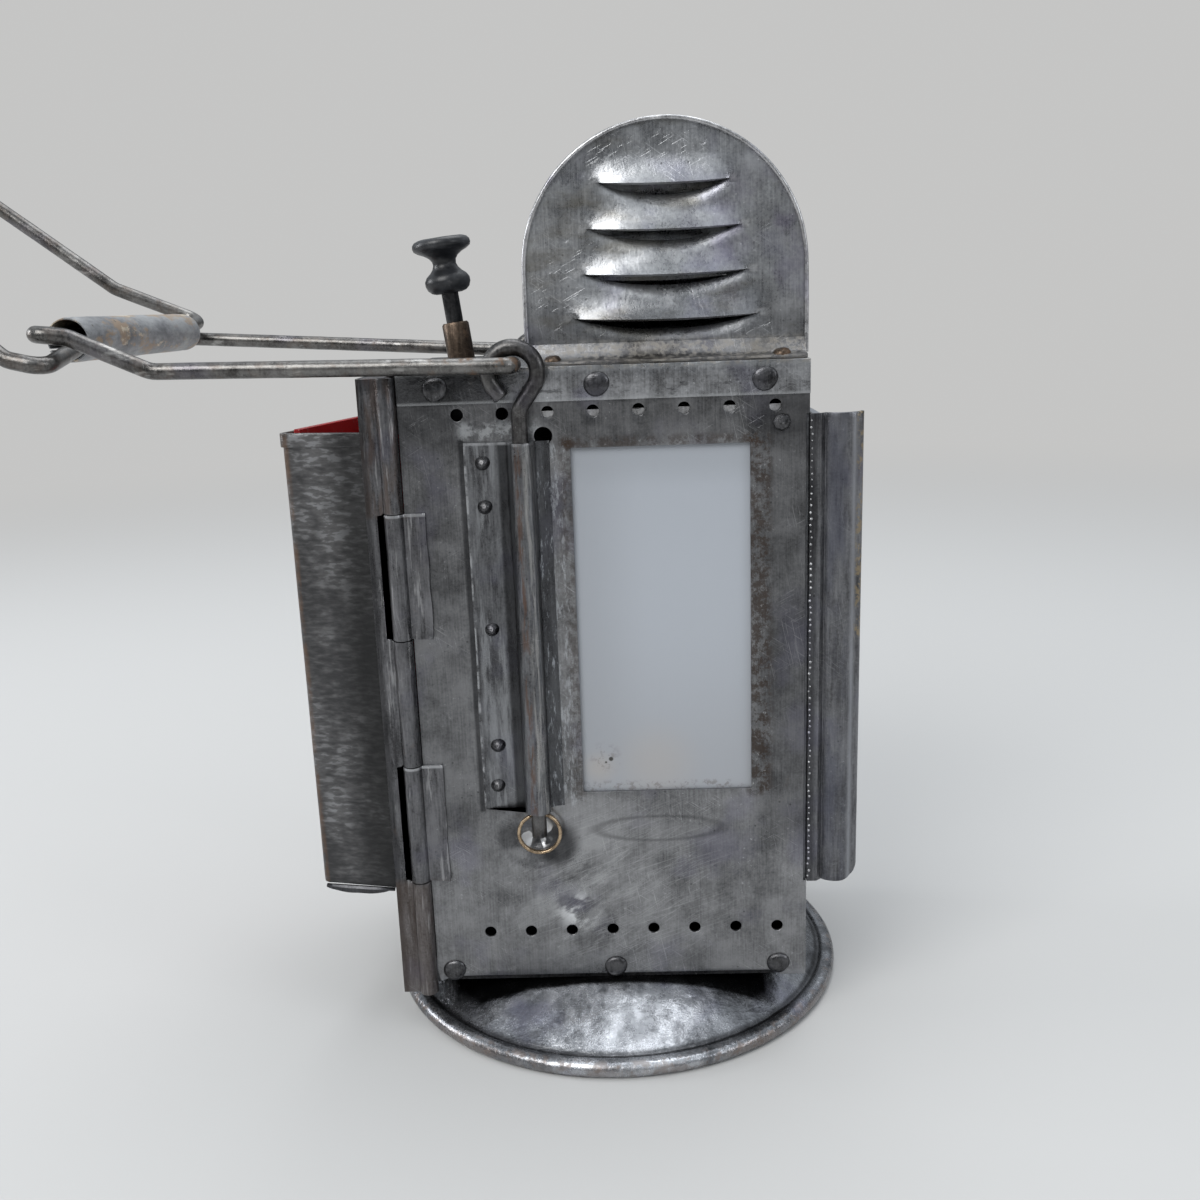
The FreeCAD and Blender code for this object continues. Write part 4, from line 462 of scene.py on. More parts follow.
def makeKnobLook():
    s = Shader("knobEbonite")
    wide = s.noise(7, 4, 0.6)
    fine = s.noise(0.6, 3, 0.7, (1, 1, 1), 3)
    worn = s.noise(3, 5, 0.7, (1, 1, 1), 21).over(0.56, 0.66)
    color = s.mix((0.008, 0.009, 0.011), (0.035, 0.037, 0.042), wide.over(0.35, 0.7))
    color = s.mix(color, (0.1, 0.1, 0.105), worn * 0.35)
    s.put(color=color, rough=0.24 + wide * 0.2 + fine * 0.06, metal=0.1)
    s.bump(fine * 0.4 + wide, 0.4, 0.05)
    return s.material


def makeGripLook():
    s = Shader("gripPaint")
    wide = s.noise(13, 5, 0.65, (1, 1.6, 1))
    fine = s.noise(1.2, 4, 0.7, (1, 2.5, 1), 7)
    tan = s.noise(9, 5, 0.7, (1, 2.2, 1), 37).over(0.5, 0.58)
    cream = s.noise(5, 5, 0.7, (1, 2, 1), 59).over(0.54, 0.62) * tan
    color = s.mix((0.13, 0.135, 0.145), (0.36, 0.37, 0.38), (wide * 0.7 + fine * 0.3).over(0.35, 0.65))
    color = s.mix(color, (0.34, 0.235, 0.14), tan * 0.7)
    color = s.mix(color, (0.62, 0.55, 0.43), cream * 0.8)
    chips = s.noise(2.2, 5, 0.75, (1, 1.6, 1), 83).over(0.62, 0.68)
    color = s.mix(color, (0.07, 0.055, 0.045), chips * 0.7)
    s.put(color=color, rough=0.36 + fine * 0.2, metal=0.3 + chips * 0.3)
    s.bump(fine * 0.3 - chips * 0.5 + cream * 0.4, 1.0, 0.1)
    return s.material


def makeRedLook():
    s = Shader("redSlide")
    wide = s.noise(20, 3, 0.6)
    dust = s.noise(2, 5, 0.75, (1, 1, 1), 9).over(0.58, 0.68)
    color = s.mix((0.36, 0.013, 0.015), (0.46, 0.018, 0.02), wide.over(0.3, 0.7))
    color = s.mix(color, (0.3, 0.2, 0.18), dust * 0.25)
    s.put(color=color, rough=0.16 + wide * 0.12, metal=0.0, through=0.25, ior=1.49)
    s.bump(dust, 0.2, 0.03)
    return s.material


def makeOpalLook():
    s = Shader("opalPane")
    down = s.z.over(76, 176)
    side = s.x.over(-8, 14)
    color = s.mix((0.33, 0.345, 0.372), (0.36, 0.385, 0.425), down)
    color = s.mix(color, (0.41, 0.44, 0.485), s.ball((24, -41, 132), 56, 50) * 0.6)
    color = s.mix(color, (0.27, 0.285, 0.31), (1 - side) * 0.45)
    dim = s.block((None, None, 168), (None, None, None), 9) * 0.3
    color = s.mix(color, (0.24, 0.255, 0.275), dim)
    warm = s.ball((14, -41, 84), 16, 15) * 0.3 + s.ball((-3, -41, 83), 7, 6.5) * 0.4
    color = s.mix(color, (0.42, 0.37, 0.32), warm.clamped())
    grime = s.noise(2.2, 5, 0.7, (1, 1, 1), 6).over(0.5, 0.62) * (
        s.ball((-1, -41.8, 86), 6, 5) + s.block((None, None, None), (45, None, 78.5), 2))
    color = s.mix(color, (0.12, 0.1, 0.085), grime.clamped() * 0.5)
    speck = s.ball((0.6, -41.8, 85.6), 0.85, 0.4) + s.ball((-0.9, -41.8, 84.6), 0.45, 0.3)
    color = s.mix(color, (0.03, 0.028, 0.025), speck.clamped())
    smear = s.noise(14, 4, 0.6, (0.6, 1, 2.2), 4)
    s.put(color=color, rough=0.24 + smear * 0.16, metal=0.0, coat=0.25, coatRough=0.16)
    s.bump(smear, 1.0, 0.12)
    return s.material


def makeWickLook():
    s = Shader("wickCotton")
    weave = s.make("ShaderNodeTexWave", {"Vector": s.place, "Scale": 1.4, "Distortion": 1.0})
    burnt = s.z.over(84, 86)
    color = s.mix((0.6, 0.57, 0.5), (0.78, 0.75, 0.68), weave)
    s.put(color=s.mix(color, (0.02, 0.018, 0.016), burnt), rough=0.9, metal=0.0)
    s.bump(weave, 0.5, 0.1)
    return s.material


looks["pocket"] = makePebbled()
looks["knob"] = makeKnobLook()
looks["grip"] = makeGripLook()
looks["red"] = makeRedLook()
looks["opal"] = makeOpalLook()
looks["wick"] = makeWickLook()
print("materials made")


# mesh helpers, all in millimetres until a piece is finished

def finishPiece(name, bm, body, look, replaced=(), angle=35, keepSharp=True):
    bmesh.ops.recalc_face_normals(bm, faces=bm.faces)
    bmesh.ops.transform(bm, matrix=Matrix.Scale(mm, 4), verts=bm.verts)
    mesh = bpy.data.meshes.new(name)
    bm.to_mesh(mesh)
    bm.free()
    mesh.materials.append(looks[look])
    mesh.shade_smooth()
    if keepSharp:
        mesh.set_sharp_from_angle(angle=math.radians(angle))
    piece = bpy.data.objects.new(name, mesh)
    bpy.context.collection.objects.link(piece)
    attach(piece, body)
    if replaced:
        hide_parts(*replaced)
    return piece


def smoothNoise(point, period, seed=0.0):
    return noise.noise(Vector(point) / period + Vector((seed, seed * 1.7, seed * 0.6)))


# the node's mesh in millimetres, with its flat faces made whole again
def nodeMesh(node):
    source = nodes[node]
    bm = bmesh.new()
    bm.from_mesh(source.data)
    bm.transform(Matrix.Scale(1 / mm, 4) @ source.matrix_world)
    bmesh.ops.remove_doubles(bm, verts=bm.verts, dist=0.002)
    bmesh.ops.dissolve_limit(bm, angle_limit=math.radians(0.6), verts=bm.verts, edges=bm.edges)
    return bm


def soften(bm, offset, angle=32, segments=2):
    edges = [e for e in bm.edges if e.is_manifold and e.calc_face_angle(0) > math.radians(angle)]
    bmesh.ops.bevel(bm, geom=edges, offset=offset, segments=segments, profile=0.6,
                    affect="EDGES", clamp_overlap=False)


def cutAcross(bm, axis, low, high, step):
    normal = [0, 0, 0]
    normal["xyz".index(axis)] = 1
    place = low + step
    while place < high - step / 2:
        point = [0, 0, 0]
        point["xyz".index(axis)] = place
        bmesh.ops.bisect_plane(bm, geom=bm.verts[:] + bm.edges[:] + bm.faces[:], dist=0.0005,
                               plane_co=point, plane_no=normal)
        place += step


# a CAD node's shape with soft edges, cut finely enough to be bent a little
def refined(node, look, body="lamp", offset=0.14, slices=(), shape=None, name=None,
            angle=35):
    bm = nodeMesh(node)
    if offset:
        soften(bm, offset)
    for axis, low, high, step in slices:
        cutAcross(bm, axis, low, high, step)
    if shape:
        for vertex in bm.verts:
            vertex.co += Vector(shape(vertex.co))
    bmesh.ops.triangulate(bm, faces=[f for f in bm.faces if len(f.verts) > 4])
    return finishPiece(name or f"{node}Looks", bm, body, look, (node,), angle)


def ringOf(bm, centre, first, second, radius, sides):
    ring = []
    for i in range(sides):
        a = 2 * math.pi * i / sides
        ring.append(bm.verts.new(centre + (first * math.cos(a) + second * math.sin(a)) * radius))
    return ring


def bridge(bm, low, high):
    count = len(low)
    for i in range(count):
        bm.faces.new((low[i], low[(i + 1) % count], high[(i + 1) % count], high[i]))


def tubeMesh(points, radius, sides=20, rough=0.02, wobble=0.0, closed=False):
    bm = bmesh.new()
    points = [Vector(p) for p in points]
    count = len(points)
    rings, side = [], None
    for i, point in enumerate(points):
        before = points[(i - 1) % count] if closed or i else point
        after = points[(i + 1) % count] if closed or i < count - 1 else point
        along = (after - before).normalized()
        if side is None:
            side = along.orthogonal().normalized()
        side = (side - along * side.dot(along)).normalized()
        other = along.cross(side)
        size = radius * (1 + rough * smoothNoise(point, 5, 3))
        drift = Vector((smoothNoise(point, 19, 1), smoothNoise(point, 19, 5),
                        smoothNoise(point, 19, 9))) * wobble
        rings.append((point + drift, side.copy(), other, size, along))
    made = []
    if not closed:
        centre, a, b, size, along = rings[0]
        tip = bm.verts.new(centre)
        made.append(ringOf(bm, centre, a, b, size * 0.8, sides))
        for i in range(sides):
            bm.faces.new((tip, made[0][(i + 1) % sides], made[0][i]))
        made.append(ringOf(bm, centre + along * size * 0.12, a, b, size, sides))
        bridge(bm, made[0], made[1])
    for centre, a, b, size, along in rings[1 if not closed else 0:-1 if not closed else None]:
        made.append(ringOf(bm, centre, a, b, size, sides))
        if len(made) > 1:
            bridge(bm, made[-2], made[-1])
    if closed:
        bridge(bm, made[-1], made[0])
    else:
        centre, a, b, size, along = rings[-1]
        made.append(ringOf(bm, centre - along * size * 0.12, a, b, size, sides))
        bridge(bm, made[-2], made[-1])
        made.append(ringOf(bm, centre, a, b, size * 0.8, sides))
        bridge(bm, made[-2], made[-1])
        tip = bm.verts.new(centre)
        for i in range(sides):
            bm.faces.new((tip, made[-1][i], made[-1][(i + 1) % sides]))
    return bm


# straight runs joined by tangent arcs, as closely spaced points
def bentPath(points, bend=7.0, spacing=3.0, reachShare=0.45):
    spots = [Vector(p) for p in points]
    path = [spots[0]]

    def runTo(target):
        start = path[-1]
        steps = max(1, round((target - start).length / spacing))
        for i in range(1, steps + 1):
            path.append(start.lerp(target, i / steps))

    for before, corner, after in zip(spots, spots[1:], spots[2:]):
        inward, onward = (before - corner).normalized(), (after - corner).normalized()
        half = inward.angle(onward) / 2
        shorter = min((before - corner).length, (after - corner).length)
        turn = min(bend, reachShare * shorter * math.tan(half))
        reach = turn / math.tan(half)
        centre = corner + (inward + onward).normalized() * (turn / math.sin(half))
        start, end = corner + inward * reach, corner + onward * reach
        runTo(start)
        first, last = start - centre, end - centre
        whole = first.angle(last)
        normal = first.cross(last).normalized()
        steps = max(3, round(whole * 7))
        for i in range(1, steps + 1):
            path.append(centre + Matrix.Rotation(whole * i / steps, 3, normal) @ first)
    runTo(spots[-1])
    return path


# turns (radius, height) points about a Z axis through centre
def lathe(profile, centre=(0, 0, 0), segments=96, shape=None, closed=False):
    bm = bmesh.new()
    rings = []
    for radius, height in profile:
        if radius < 1e-6:
            rings.append([bm.verts.new(Vector(centre) + Vector((0, 0, height)))])
            continue
        ring = []
        for i in range(segments):
            a = 2 * math.pi * i / segments
            point = Vector((radius * math.cos(a), radius * math.sin(a), height))
            if shape:
                point += Vector(shape(point, radius, a))
            ring.append(bm.verts.new(Vector(centre) + point))
        rings.append(ring)
    pairs = list(zip(rings, rings[1:])) + ([(rings[-1], rings[0])] if closed else [])
    for low, high in pairs:
        for i in range(segments):
            j = (i + 1) % segments
            corners = []
            for v in (low[i % len(low)], low[j % len(low)], high[j % len(high)],
                      high[i % len(high)]):
                if v not in corners:
                    corners.append(v)
            if len(corners) > 2:
                bm.faces.new(corners)
    return bm


# points of an arc in a plane, angles in degrees
def arcPoints(centre, radius, first, last, steps):
    out = []
    for i in range(steps + 1):
        a = math.radians(first + (last - first) * i / steps)
        out.append((centre[0] + radius * math.cos(a), centre[1] + radius * math.sin(a)))
    return out


def joinInto(target, extra):
    mesh = bpy.data.meshes.new("part")
    extra.to_mesh(mesh)
    extra.free()
    target.from_mesh(mesh)
    bpy.data.meshes.remove(mesh)


# repeats: one node group sets a piece on every point, facing outwards and a little uneven

def makeRepeater():
    tree = bpy.data.node_groups.new("repeated", "GeometryNodeTree")
    kinds = {"Geometry": "Geometry", "Piece": "Object", "Size Spread": "Float",
             "Place Spread": "Float", "Seed": "Int", "Material": "Material"}
    for name, kind in kinds.items():
        tree.interface.new_socket(name, in_out="INPUT", socket_type=f"NodeSocket{kind}")
    tree.interface.new_socket("Geometry", in_out="OUTPUT", socket_type="NodeSocketGeometry")

    def add(kind, inputs, **settings):
        item = tree.nodes.new(kind)
        for key, value in settings.items():
            setattr(item, key, value)
        for key, value in inputs.items():
            if isinstance(value, bpy.types.NodeSocket):
                tree.links.new(value, item.inputs[key])
            else:
                item.inputs[key].default_value = value
        return item.outputs

    given = add("NodeGroupInput", {})
    drift = add("FunctionNodeRandomValue", {0: (-1, -1, -1), 1: (1, 1, 1), 8: given["Seed"]},
                data_type="FLOAT_VECTOR")
    offset = add("ShaderNodeVectorMath", {0: drift[0], "Scale": given["Place Spread"]},
                 operation="SCALE")
    moved = add("GeometryNodeSetPosition", {"Geometry": given["Geometry"], "Offset": offset[0]})
    chance = add("FunctionNodeRandomValue", {2: -1.0, 3: 1.0, 8: given["Seed"]},
                 data_type="FLOAT")
    size = add("ShaderNodeMath", {0: chance[1], 1: given["Size Spread"], 2: 1.0},
               operation="MULTIPLY_ADD")
    facing = add("GeometryNodeInputNamedAttribute", {"Name": "facing"}, data_type="FLOAT_VECTOR")
    turned = add("FunctionNodeAlignRotationToVector", {"Vector": facing[0]}, axis="Z")
    piece = add("GeometryNodeObjectInfo", {"Object": given["Piece"]})
    placed = add("GeometryNodeInstanceOnPoints", {
        "Points": moved[0], "Instance": piece["Geometry"], "Rotation": turned[0],
        "Scale": size[0]})
    real = add("GeometryNodeRealizeInstances", {"Geometry": placed[0]})
    dressed = add("GeometryNodeSetMaterial", {
        "Geometry": real[0], "Material": given["Material"]})
    add("NodeGroupOutput", {0: dressed[0]})
    return tree


repeater = makeRepeater()


def repeatPiece(name, unit, spots, body, look, replaced=(), sizeSpread=0.0,
                placeSpread=0.0, seed=1, angle=40):
    bmesh.ops.recalc_face_normals(unit, faces=unit.faces)
    unit.transform(Matrix.Scale(mm, 4))
    unitMesh = bpy.data.meshes.new("unit")
    unit.to_mesh(unitMesh)
    unit.free()
    unitMesh.shade_smooth()
    unitMesh.set_sharp_from_angle(angle=math.radians(angle))
    pointMesh = bpy.data.meshes.new("spots")
    pointMesh.from_pydata([Vector(place) * mm for place, facing in spots], [], [])
    attribute = pointMesh.attributes.new("facing", "FLOAT_VECTOR", "POINT")
    for item, (place, facing) in zip(attribute.data, spots):
        item.vector = facing
    unitObject = bpy.data.objects.new("unit", unitMesh)
    pointObject = bpy.data.objects.new("spots", pointMesh)
    for item in (unitObject, pointObject):
        bpy.context.collection.objects.link(item)
    modifier = pointObject.modifiers.new("repeated", "NODES")
    modifier.node_group = repeater
    values = {"Piece": unitObject, "Size Spread": sizeSpread, "Place Spread": placeSpread * mm,
              "Seed": seed, "Material": looks[look]}
    for item in repeater.interface.items_tree:
        if item.in_out == "INPUT" and item.name in values:
            modifier[item.identifier] = values[item.name]
    bpy.context.view_layer.update()
    evaluated = pointObject.evaluated_get(bpy.context.evaluated_depsgraph_get())
    mesh = bpy.data.meshes.new_from_object(evaluated)
    mesh.name = name
    if not mesh.materials:
        mesh.materials.append(looks[look])
    for item in (unitObject, pointObject):
        bpy.data.objects.remove(item)
    piece = bpy.data.objects.new(name, mesh)
    bpy.context.collection.objects.link(piece)
    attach(piece, body)
    if replaced:
        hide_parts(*replaced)
    return piece


# base: rolled bead, groove and hammered dome

base = {"bead": 2.5, "beadLine": 70.0, "footRadius": 66.0, "footLevel": 5.0, "topRadius": 42.0,
        "topLevel": 15.0, "swell": 1.575, "domeSteps": 14, "segments": 224}


def makeBase():
    bead = arcPoints((base["beadLine"], base["bead"]), base["bead"], -115, 90, 16)
    profile = [(68.9, 0.35)] + bead
    profile += [(69.0, 4.95), (68.3, 4.75), (67.8, 4.35), (67.3, 4.2), (66.8, 4.35), (66.3, 4.8)]
    for i in range(base["domeSteps"] + 1):
        t = i / base["domeSteps"]
        radius = base["footRadius"] + (base["topRadius"] - base["footRadius"]) * t
        height = base["footLevel"] + (base["topLevel"] - base["footLevel"]) * t
        profile.append((radius, height + base["swell"] * math.sin(math.pi * t)))
    profile += [(radius, base["topLevel"]) for radius in (38, 24, 0)]
    under = [(0, 14.1), (38, 14.1), (42, 14.05), (54, 10.5), (65.4, 4.2), (66.4, 3.7),
             (67.3, 3.4), (68.2, 3.2)]

    def hammer(point, radius, a):
        if radius > 68.8:
            lump = smoothNoise(point, 6, 2) * 0.12 + smoothNoise(point, 24, 7) * 0.16
            return (0, 0, max(lump, -point.z))
        if 41 < radius < 66.5:
            depth = smoothNoise(point, 7.5, 4) * 0.3 + smoothNoise(point, 3.4, 8) * 0.1
            return (0, 0, depth * min(1, (radius - 41) / 5))
        return (0, 0, 0)

    bm = lathe(profile + under, segments=base["segments"], shape=hammer,
               closed=True)
    finishPiece("rolledBase", bm, "lamp", "base", ("base_pan",), 50)


# rivets: domed or pointed heads, a little out of round

headShapes = {
    "domed": [(1.0, 0.0), (1.0, 0.22), (0.93, 0.5), (0.76, 0.78), (0.48, 0.95), (0.2, 1.0)],
    "pointed": [(1.12, 0.0), (1.0, 0.2), (0.82, 0.5), (0.55, 0.8), (0.3, 0.97), (0.12, 1.0)],
}


def rivetHead(shape, radius, rise, sides=28, tilt=0.1):
    bm = bmesh.new()
    rings = []
    for share, height in headShapes[shape]:
        ring = []
        for i in range(sides):
            a = 2 * math.pi * i / sides
            wave = 1 + 0.04 * math.sin(2 * a + 0.7) + 0.02 * math.sin(3 * a)
            ring.append(bm.verts.new((math.cos(a) * radius * share * wave,
                                      math.sin(a) * radius * share * wave,
                                      rise * height * (1 + tilt * math.cos(a + 1)))))
        rings.append(ring)
    for low, high in zip(rings, rings[1:]):
        bridge(bm, low, high)
    bm.faces.new(rings[-1])
    bm.faces.new(list(reversed(rings[0])))
    return bm


def makeRivets():
    groups = {
        "footRivets": {"node": "foot_rivets", "face": 42.95, "head": ("domed", 3.2, 1.25),
                       "places": [(-49.2, 18.9), (0, 18.9), (49.2, 18.9)]},
        "bandRivets": {"node": "band_rivets", "face": 43.85, "head": ("domed", 3.3, 1.2),
                       "places": [(-43.7, 193.8), (0, 193.8), (45.4, 193.8)]},
        "sleeveRivets": {"node": "sleeve_rivets", "face": 43.85, "head": ("pointed", 1.9, 1.7),
                         "places": [(-32.5, 79.2), (-31.8, 91.4), (-31.8, 126.2),
                                    (-31.8, 161.3), (-31.8, 173.5)]},
    }
    for seed, (name, group) in enumerate(groups.items()):
        spots = [((x, sign * group["face"], z), (0, sign, 0))
                 for x, z in group["places"] for sign in (-1, 1)]
        repeatPiece(name, rivetHead(*group["head"]), spots, "lamp", "rivet",
                    (group["node"],), 0.06, 0.12, seed + 3)
    repeatPiece("cornerRivet", rivetHead("domed", 2.5, 1.5, 8), [((49.9, -43.0, 182.0), (0, -1, 0))],
                "lamp", "rivet", ("corner_rivet",), angle=20)


# sheets

front = {"left": -53.5, "right": 57.5, "bottom": 15, "top": 198, "window": (16.85, 126.3),
         "windowHalf": (24.5, 50.4), "dent": (-23.3, 61.5), "dentRadius": 9.8, "dentDepth": 2.1,
         "trough": -12.4, "waves": 0.34, "hem": 0.9, "bottomLift": 1.6}


def frontShape(co):
    wave = smoothNoise((co.x, 0, co.z), 34, 2) * front["waves"]
    wave += smoothNoise((co.x, 0, co.z), 12, 6) * 0.12
    edge = min(1, max(0, (co.z - front["bottom"]) / 6)) * min(1, max(0, (194 - co.z) / 12))
    edge *= min(1, max(0, (front["right"] - abs(co.x)) / 5))
    window = max(abs(co.x - front["window"][0]) - front["windowHalf"][0],
                 abs(co.z - front["window"][1]) - front["windowHalf"][1])
    edge *= min(1, max(0.25, window / 6))
    away = math.hypot(co.x - front["dent"][0], co.z - front["dent"][1])
    dish = 0.0
    if away < front["dentRadius"]:
        bowl = 0.5 + 0.5 * math.cos(math.pi * away / front["dentRadius"])
        dish = front["dentDepth"] * bowl ** 0.8
        dish *= 1 + 0.7 * smoothNoise((co.x, 0, co.z), 4.2, 12)
    lip = 0.35 * math.exp(-((away - front["dentRadius"] - 1) / 2.0) ** 2)
    sleeve = min(1, max(0, (abs(co.x + 27) - 12) / 6)) if 70 < co.z < 181 else 1
    trough = 0.0
    if 70 < co.z < 183:
        fade = min(1, (co.z - 70) / 8, (183 - co.z) / 8)
        trough = 0.6 * math.exp(-((co.x - front["trough"]) / 1.7) ** 2) * fade
    outward = -front["hem"] if co.x < front["left"] + 0.1 else 0
    raised = front["bottomLift"] if co.z < front["bottom"] + 0.6 and -50 < co.x < 47 else 0
    return (outward, wave * edge * sleeve * 0.8 + dish - lip + trough, raised)


sleeve = {"bottom": 72, "length": 107, "axis": (-20.9, -46.7), "tube": 3.75, "narrowing": 0.95,
          "bore": 2.4, "plateEdge": -36.9, "steps": 44}


# outline of a sleeve's sheet across its length: plate, trough, tube, flank and foot
def sleeveOutline(z):
    share = (z - sleeve["bottom"]) / sleeve["length"]
    radius = sleeve["tube"] - sleeve["narrowing"] * share + smoothNoise((0, 0, z), 15, 5) * 0.14
    lift = 0.7 * max(0, 1 - (z - sleeve["bottom"]) / 6) ** 2
    sink = 0.15 * smoothNoise((4, 0, z), 22, 7)
    left = sleeve["plateEdge"] + 0.35 * smoothNoise((0, 0, z), 18, 2)
    middle, line = sleeve["axis"]
    outer = [(left, -43.0 - lift), (left, -43.75 - lift), (left + 0.4, -43.9 - lift),
             (-33.5, -43.95 + sink), (-30.0, -43.95 + sink), (-27.9, -43.9), (-26.6, -43.75),
             (-25.6, -43.85), (-24.9, -44.4)]
    for i in range(21):
        a = math.radians(196 + 148 * i / 20)
        swell = 1 + (0.06 if 8 < i < 14 else 0)
        outer.append((middle + radius * swell * math.cos(a), line + radius * swell * math.sin(a)))
    outer += [(-17.3, -44.5), (-16.7, -43.9), (-15.8, -43.45), (-14.6, -43.15), (-13.4, -43.0)]
    bore = arcPoints(sleeve["axis"], sleeve["bore"], 84, -264, 24)
    return outer + [(-20.5, -43.0)] + bore + [(-21.3, -43.0)]


def makeSleeve(side):
    sign = 1 if side == "front" else -1
    bm = bmesh.new()
    rows = []
    for k in range(sleeve["steps"] + 1):
        z = sleeve["bottom"] + sleeve["length"] * k / sleeve["steps"]
        rows.append([bm.verts.new((x, sign * y, z)) for x, y in sleeveOutline(z)])
    for low, high in zip(rows, rows[1:]):
        bridge(bm, low, high)
    caps = [bm.faces.new(rows[0]), bm.faces.new(list(reversed(rows[-1])))]
    bmesh.ops.triangulate(bm, faces=caps)
    finishPiece(f"{side}SleeveSheet", bm, "lamp", "plate", (f"{side}_sleeve",), 34)


# a plain upright strip behind an edge, its corner and size across and up
strips = {
    "ventStrip": {"corner": (-16.5, 183.4), "size": (71, 3.5), "line": -41.7, "sheet": 0.4,
                  "ripple": 0.1, "cuts": (30, 3), "body": "lamp", "look": "rim"},
    # the door edge fold takes the near-black look as painted shade for the gap behind the straps
    "doorEdgeFold": {"corner": (-64.0, 13.4), "size": (4.2, 182.6), "line": -41.6, "sheet": 0.5,
                     "ripple": 0.0, "cuts": (2, 24), "body": "side_door", "look": "stem"},
}


def makeStrip(name):
    strip = strips[name]
    bm = bmesh.new()
    bmesh.ops.create_grid(bm, x_segments=strip["cuts"][0], y_segments=strip["cuts"][1], size=0.5)
    for vertex in bm.verts:
        x, z = vertex.co.x + 0.5, vertex.co.y + 0.5
        ripple = strip["ripple"] * smoothNoise((x * 60, 0, z), 9, 2)
        vertex.co = (strip["corner"][0] + strip["size"][0] * x, strip["line"] + ripple,
                     strip["corner"][1] + strip["size"][1] * z)
    bmesh.ops.solidify(bm, geom=bm.faces[:], thickness=strip["sheet"])
    finishPiece(name, bm, strip["body"], strip["look"])


def makeSheets():
    grid = [("x", front["left"], front["right"], 3.7), ("z", front["bottom"], front["top"], 3.8),
            ("x", -34, -10, 0.9), ("z", 50, 73.6, 0.9)]
    refined("front_wall", "front", slices=grid, shape=frontShape, angle=40)
    refined("rear_wall", "sheet",
            slices=[("x", -57.5, 57.5, 5.2), ("z", 15, 198, 5.2)],
            shape=lambda co: (0, smoothNoise((co.x, 9, co.z), 30, 4) * 0.3
                              * min(1, max(0, (57.5 - abs(co.x)) / 6))
                              * (1 if co.x > -8 else 0.2), 0))
    refined("right_wall", "sheet")
    refined("roof_plate", "band", offset=0.2,
            slices=[("x", -57.5, 57.5, 4.0)],
            shape=lambda co: (0, smoothNoise((co.x, 0, 0), 17, 3) * 0.16
                              * (1 if co.z < 193 and co.y < 0 else 0),
                              smoothNoise((co.x, co.y, 0), 26, 8) * 0.15
                              * (1 if co.z > 197 else 0)))
    makeSleeve("front")
    makeSleeve("rear")
    # an inner strip shows in the lower half of the upper vents, from the third one on
    makeStrip("ventStrip")

    # the straps' lower and upper ends
    straps = [(49.4, 85.5), (124.2, 159.8)]

    def strapWear(co):
        if co.x < -54 or abs(co.y + 43.4) > 1.4:
            return (0, 0, 0)
        lift = sum(0.8 * max(0, 1 - abs(co.z - strap[0] + 0.2) / 3.5) for strap in straps)
        return (smoothNoise((0, 0, co.z), 9, 4) * 0.4 if co.x > -49.5 else 0,
                smoothNoise((co.x, 0, co.z), 11, 8) * 0.2 - lift * min(1, (co.x + 54) / 4), 0)

    refined("hinge_straps", "hinge", offset=0.16, shape=strapWear,
            slices=[("z", 49, 161, 2.6), ("x", -57, -48, 1.5)])

    # the door's edge stands back from the straps, so a dark gap shows beside them
    def doorEdge(co):
        beside = any(low < co.z < high for low, high in straps)
        if beside and co.x > -61.5 and co.y < -42.5:
            return (-1.5, 0, 0)
        return (0, 0, 0)

    # painted shade: a near-black fold behind the door's edge closes the view into the pocket, so the
    # gap reads dark
    makeStrip("doorEdgeFold")
    cuts = [("z", place - 1, place + 1, 1) for strap in straps
            for end in strap for place in (end - 0.1, end + 0.1)]
    refined("door_panel", "hinge", "side_door", offset=0.16, slices=cuts,
            shape=doorEdge)


def makePocket():
    def wrinkle(co):
        if co.x > -66.5:
            return (0, 0, 0)
        depth = smoothNoise((co.x, co.y, co.z * 0.8), 26, 3) * 0.55
        depth += smoothNoise((co.x, co.y, co.z), 8, 9) * 0.16
        fade = min(1, max(0, (co.z - 46) / 5)) * min(1, max(0, (181.5 - co.z) / 5))
        fade *= min(1, max(0, (-66.5 - co.x) / 4))
        if co.y < -34:
            return (0, depth * fade * 0.6, 0)
        return (abs(depth) * fade * 0.4, 0, 0)

    refined("glass_pocket", "pocket", "side_door", offset=0.2,
            slices=[("z", 46, 182.6, 3.6), ("x", -89, -65, 3.4), ("y", -40, 40, 5.0)],
            shape=wrinkle, angle=50)
    refined("pocket_rim", "pocket", "side_door", offset=0.22)
    refined("red_slide", "red", "red_slide", offset=0.3)
    # the floor's bent edge hangs a little below the front sheet
    bm = bmesh.new()
    rows = []
    for i in range(25):
        t = i / 24
        x = -87.4 + 21.6 * t
        y = -37.8 - 3.9 * t
        sag = 1.5 * math.sin(math.pi * min(1, t * 1.1)) ** 0.7 + 0.25 * smoothNoise((x, 0, 0), 5, 3)
        rows.append([bm.verts.new(co) for co in (
            (x, y, 45.7), (x, y - 0.5, 45.5 - sag * 0.3), (x, y - 0.55, 45.1 - sag),
            (x, y - 0.1, 44.9 - sag), (x, y + 0.9, 45.6))])
    for low, high in zip(rows, rows[1:]):
        bridge(bm, low, high)
    bm.faces.new(rows[0])
    bm.faces.new(list(reversed(rows[-1])))
    finishPiece("pocketFloorEdge", bm, "side_door", "wing")


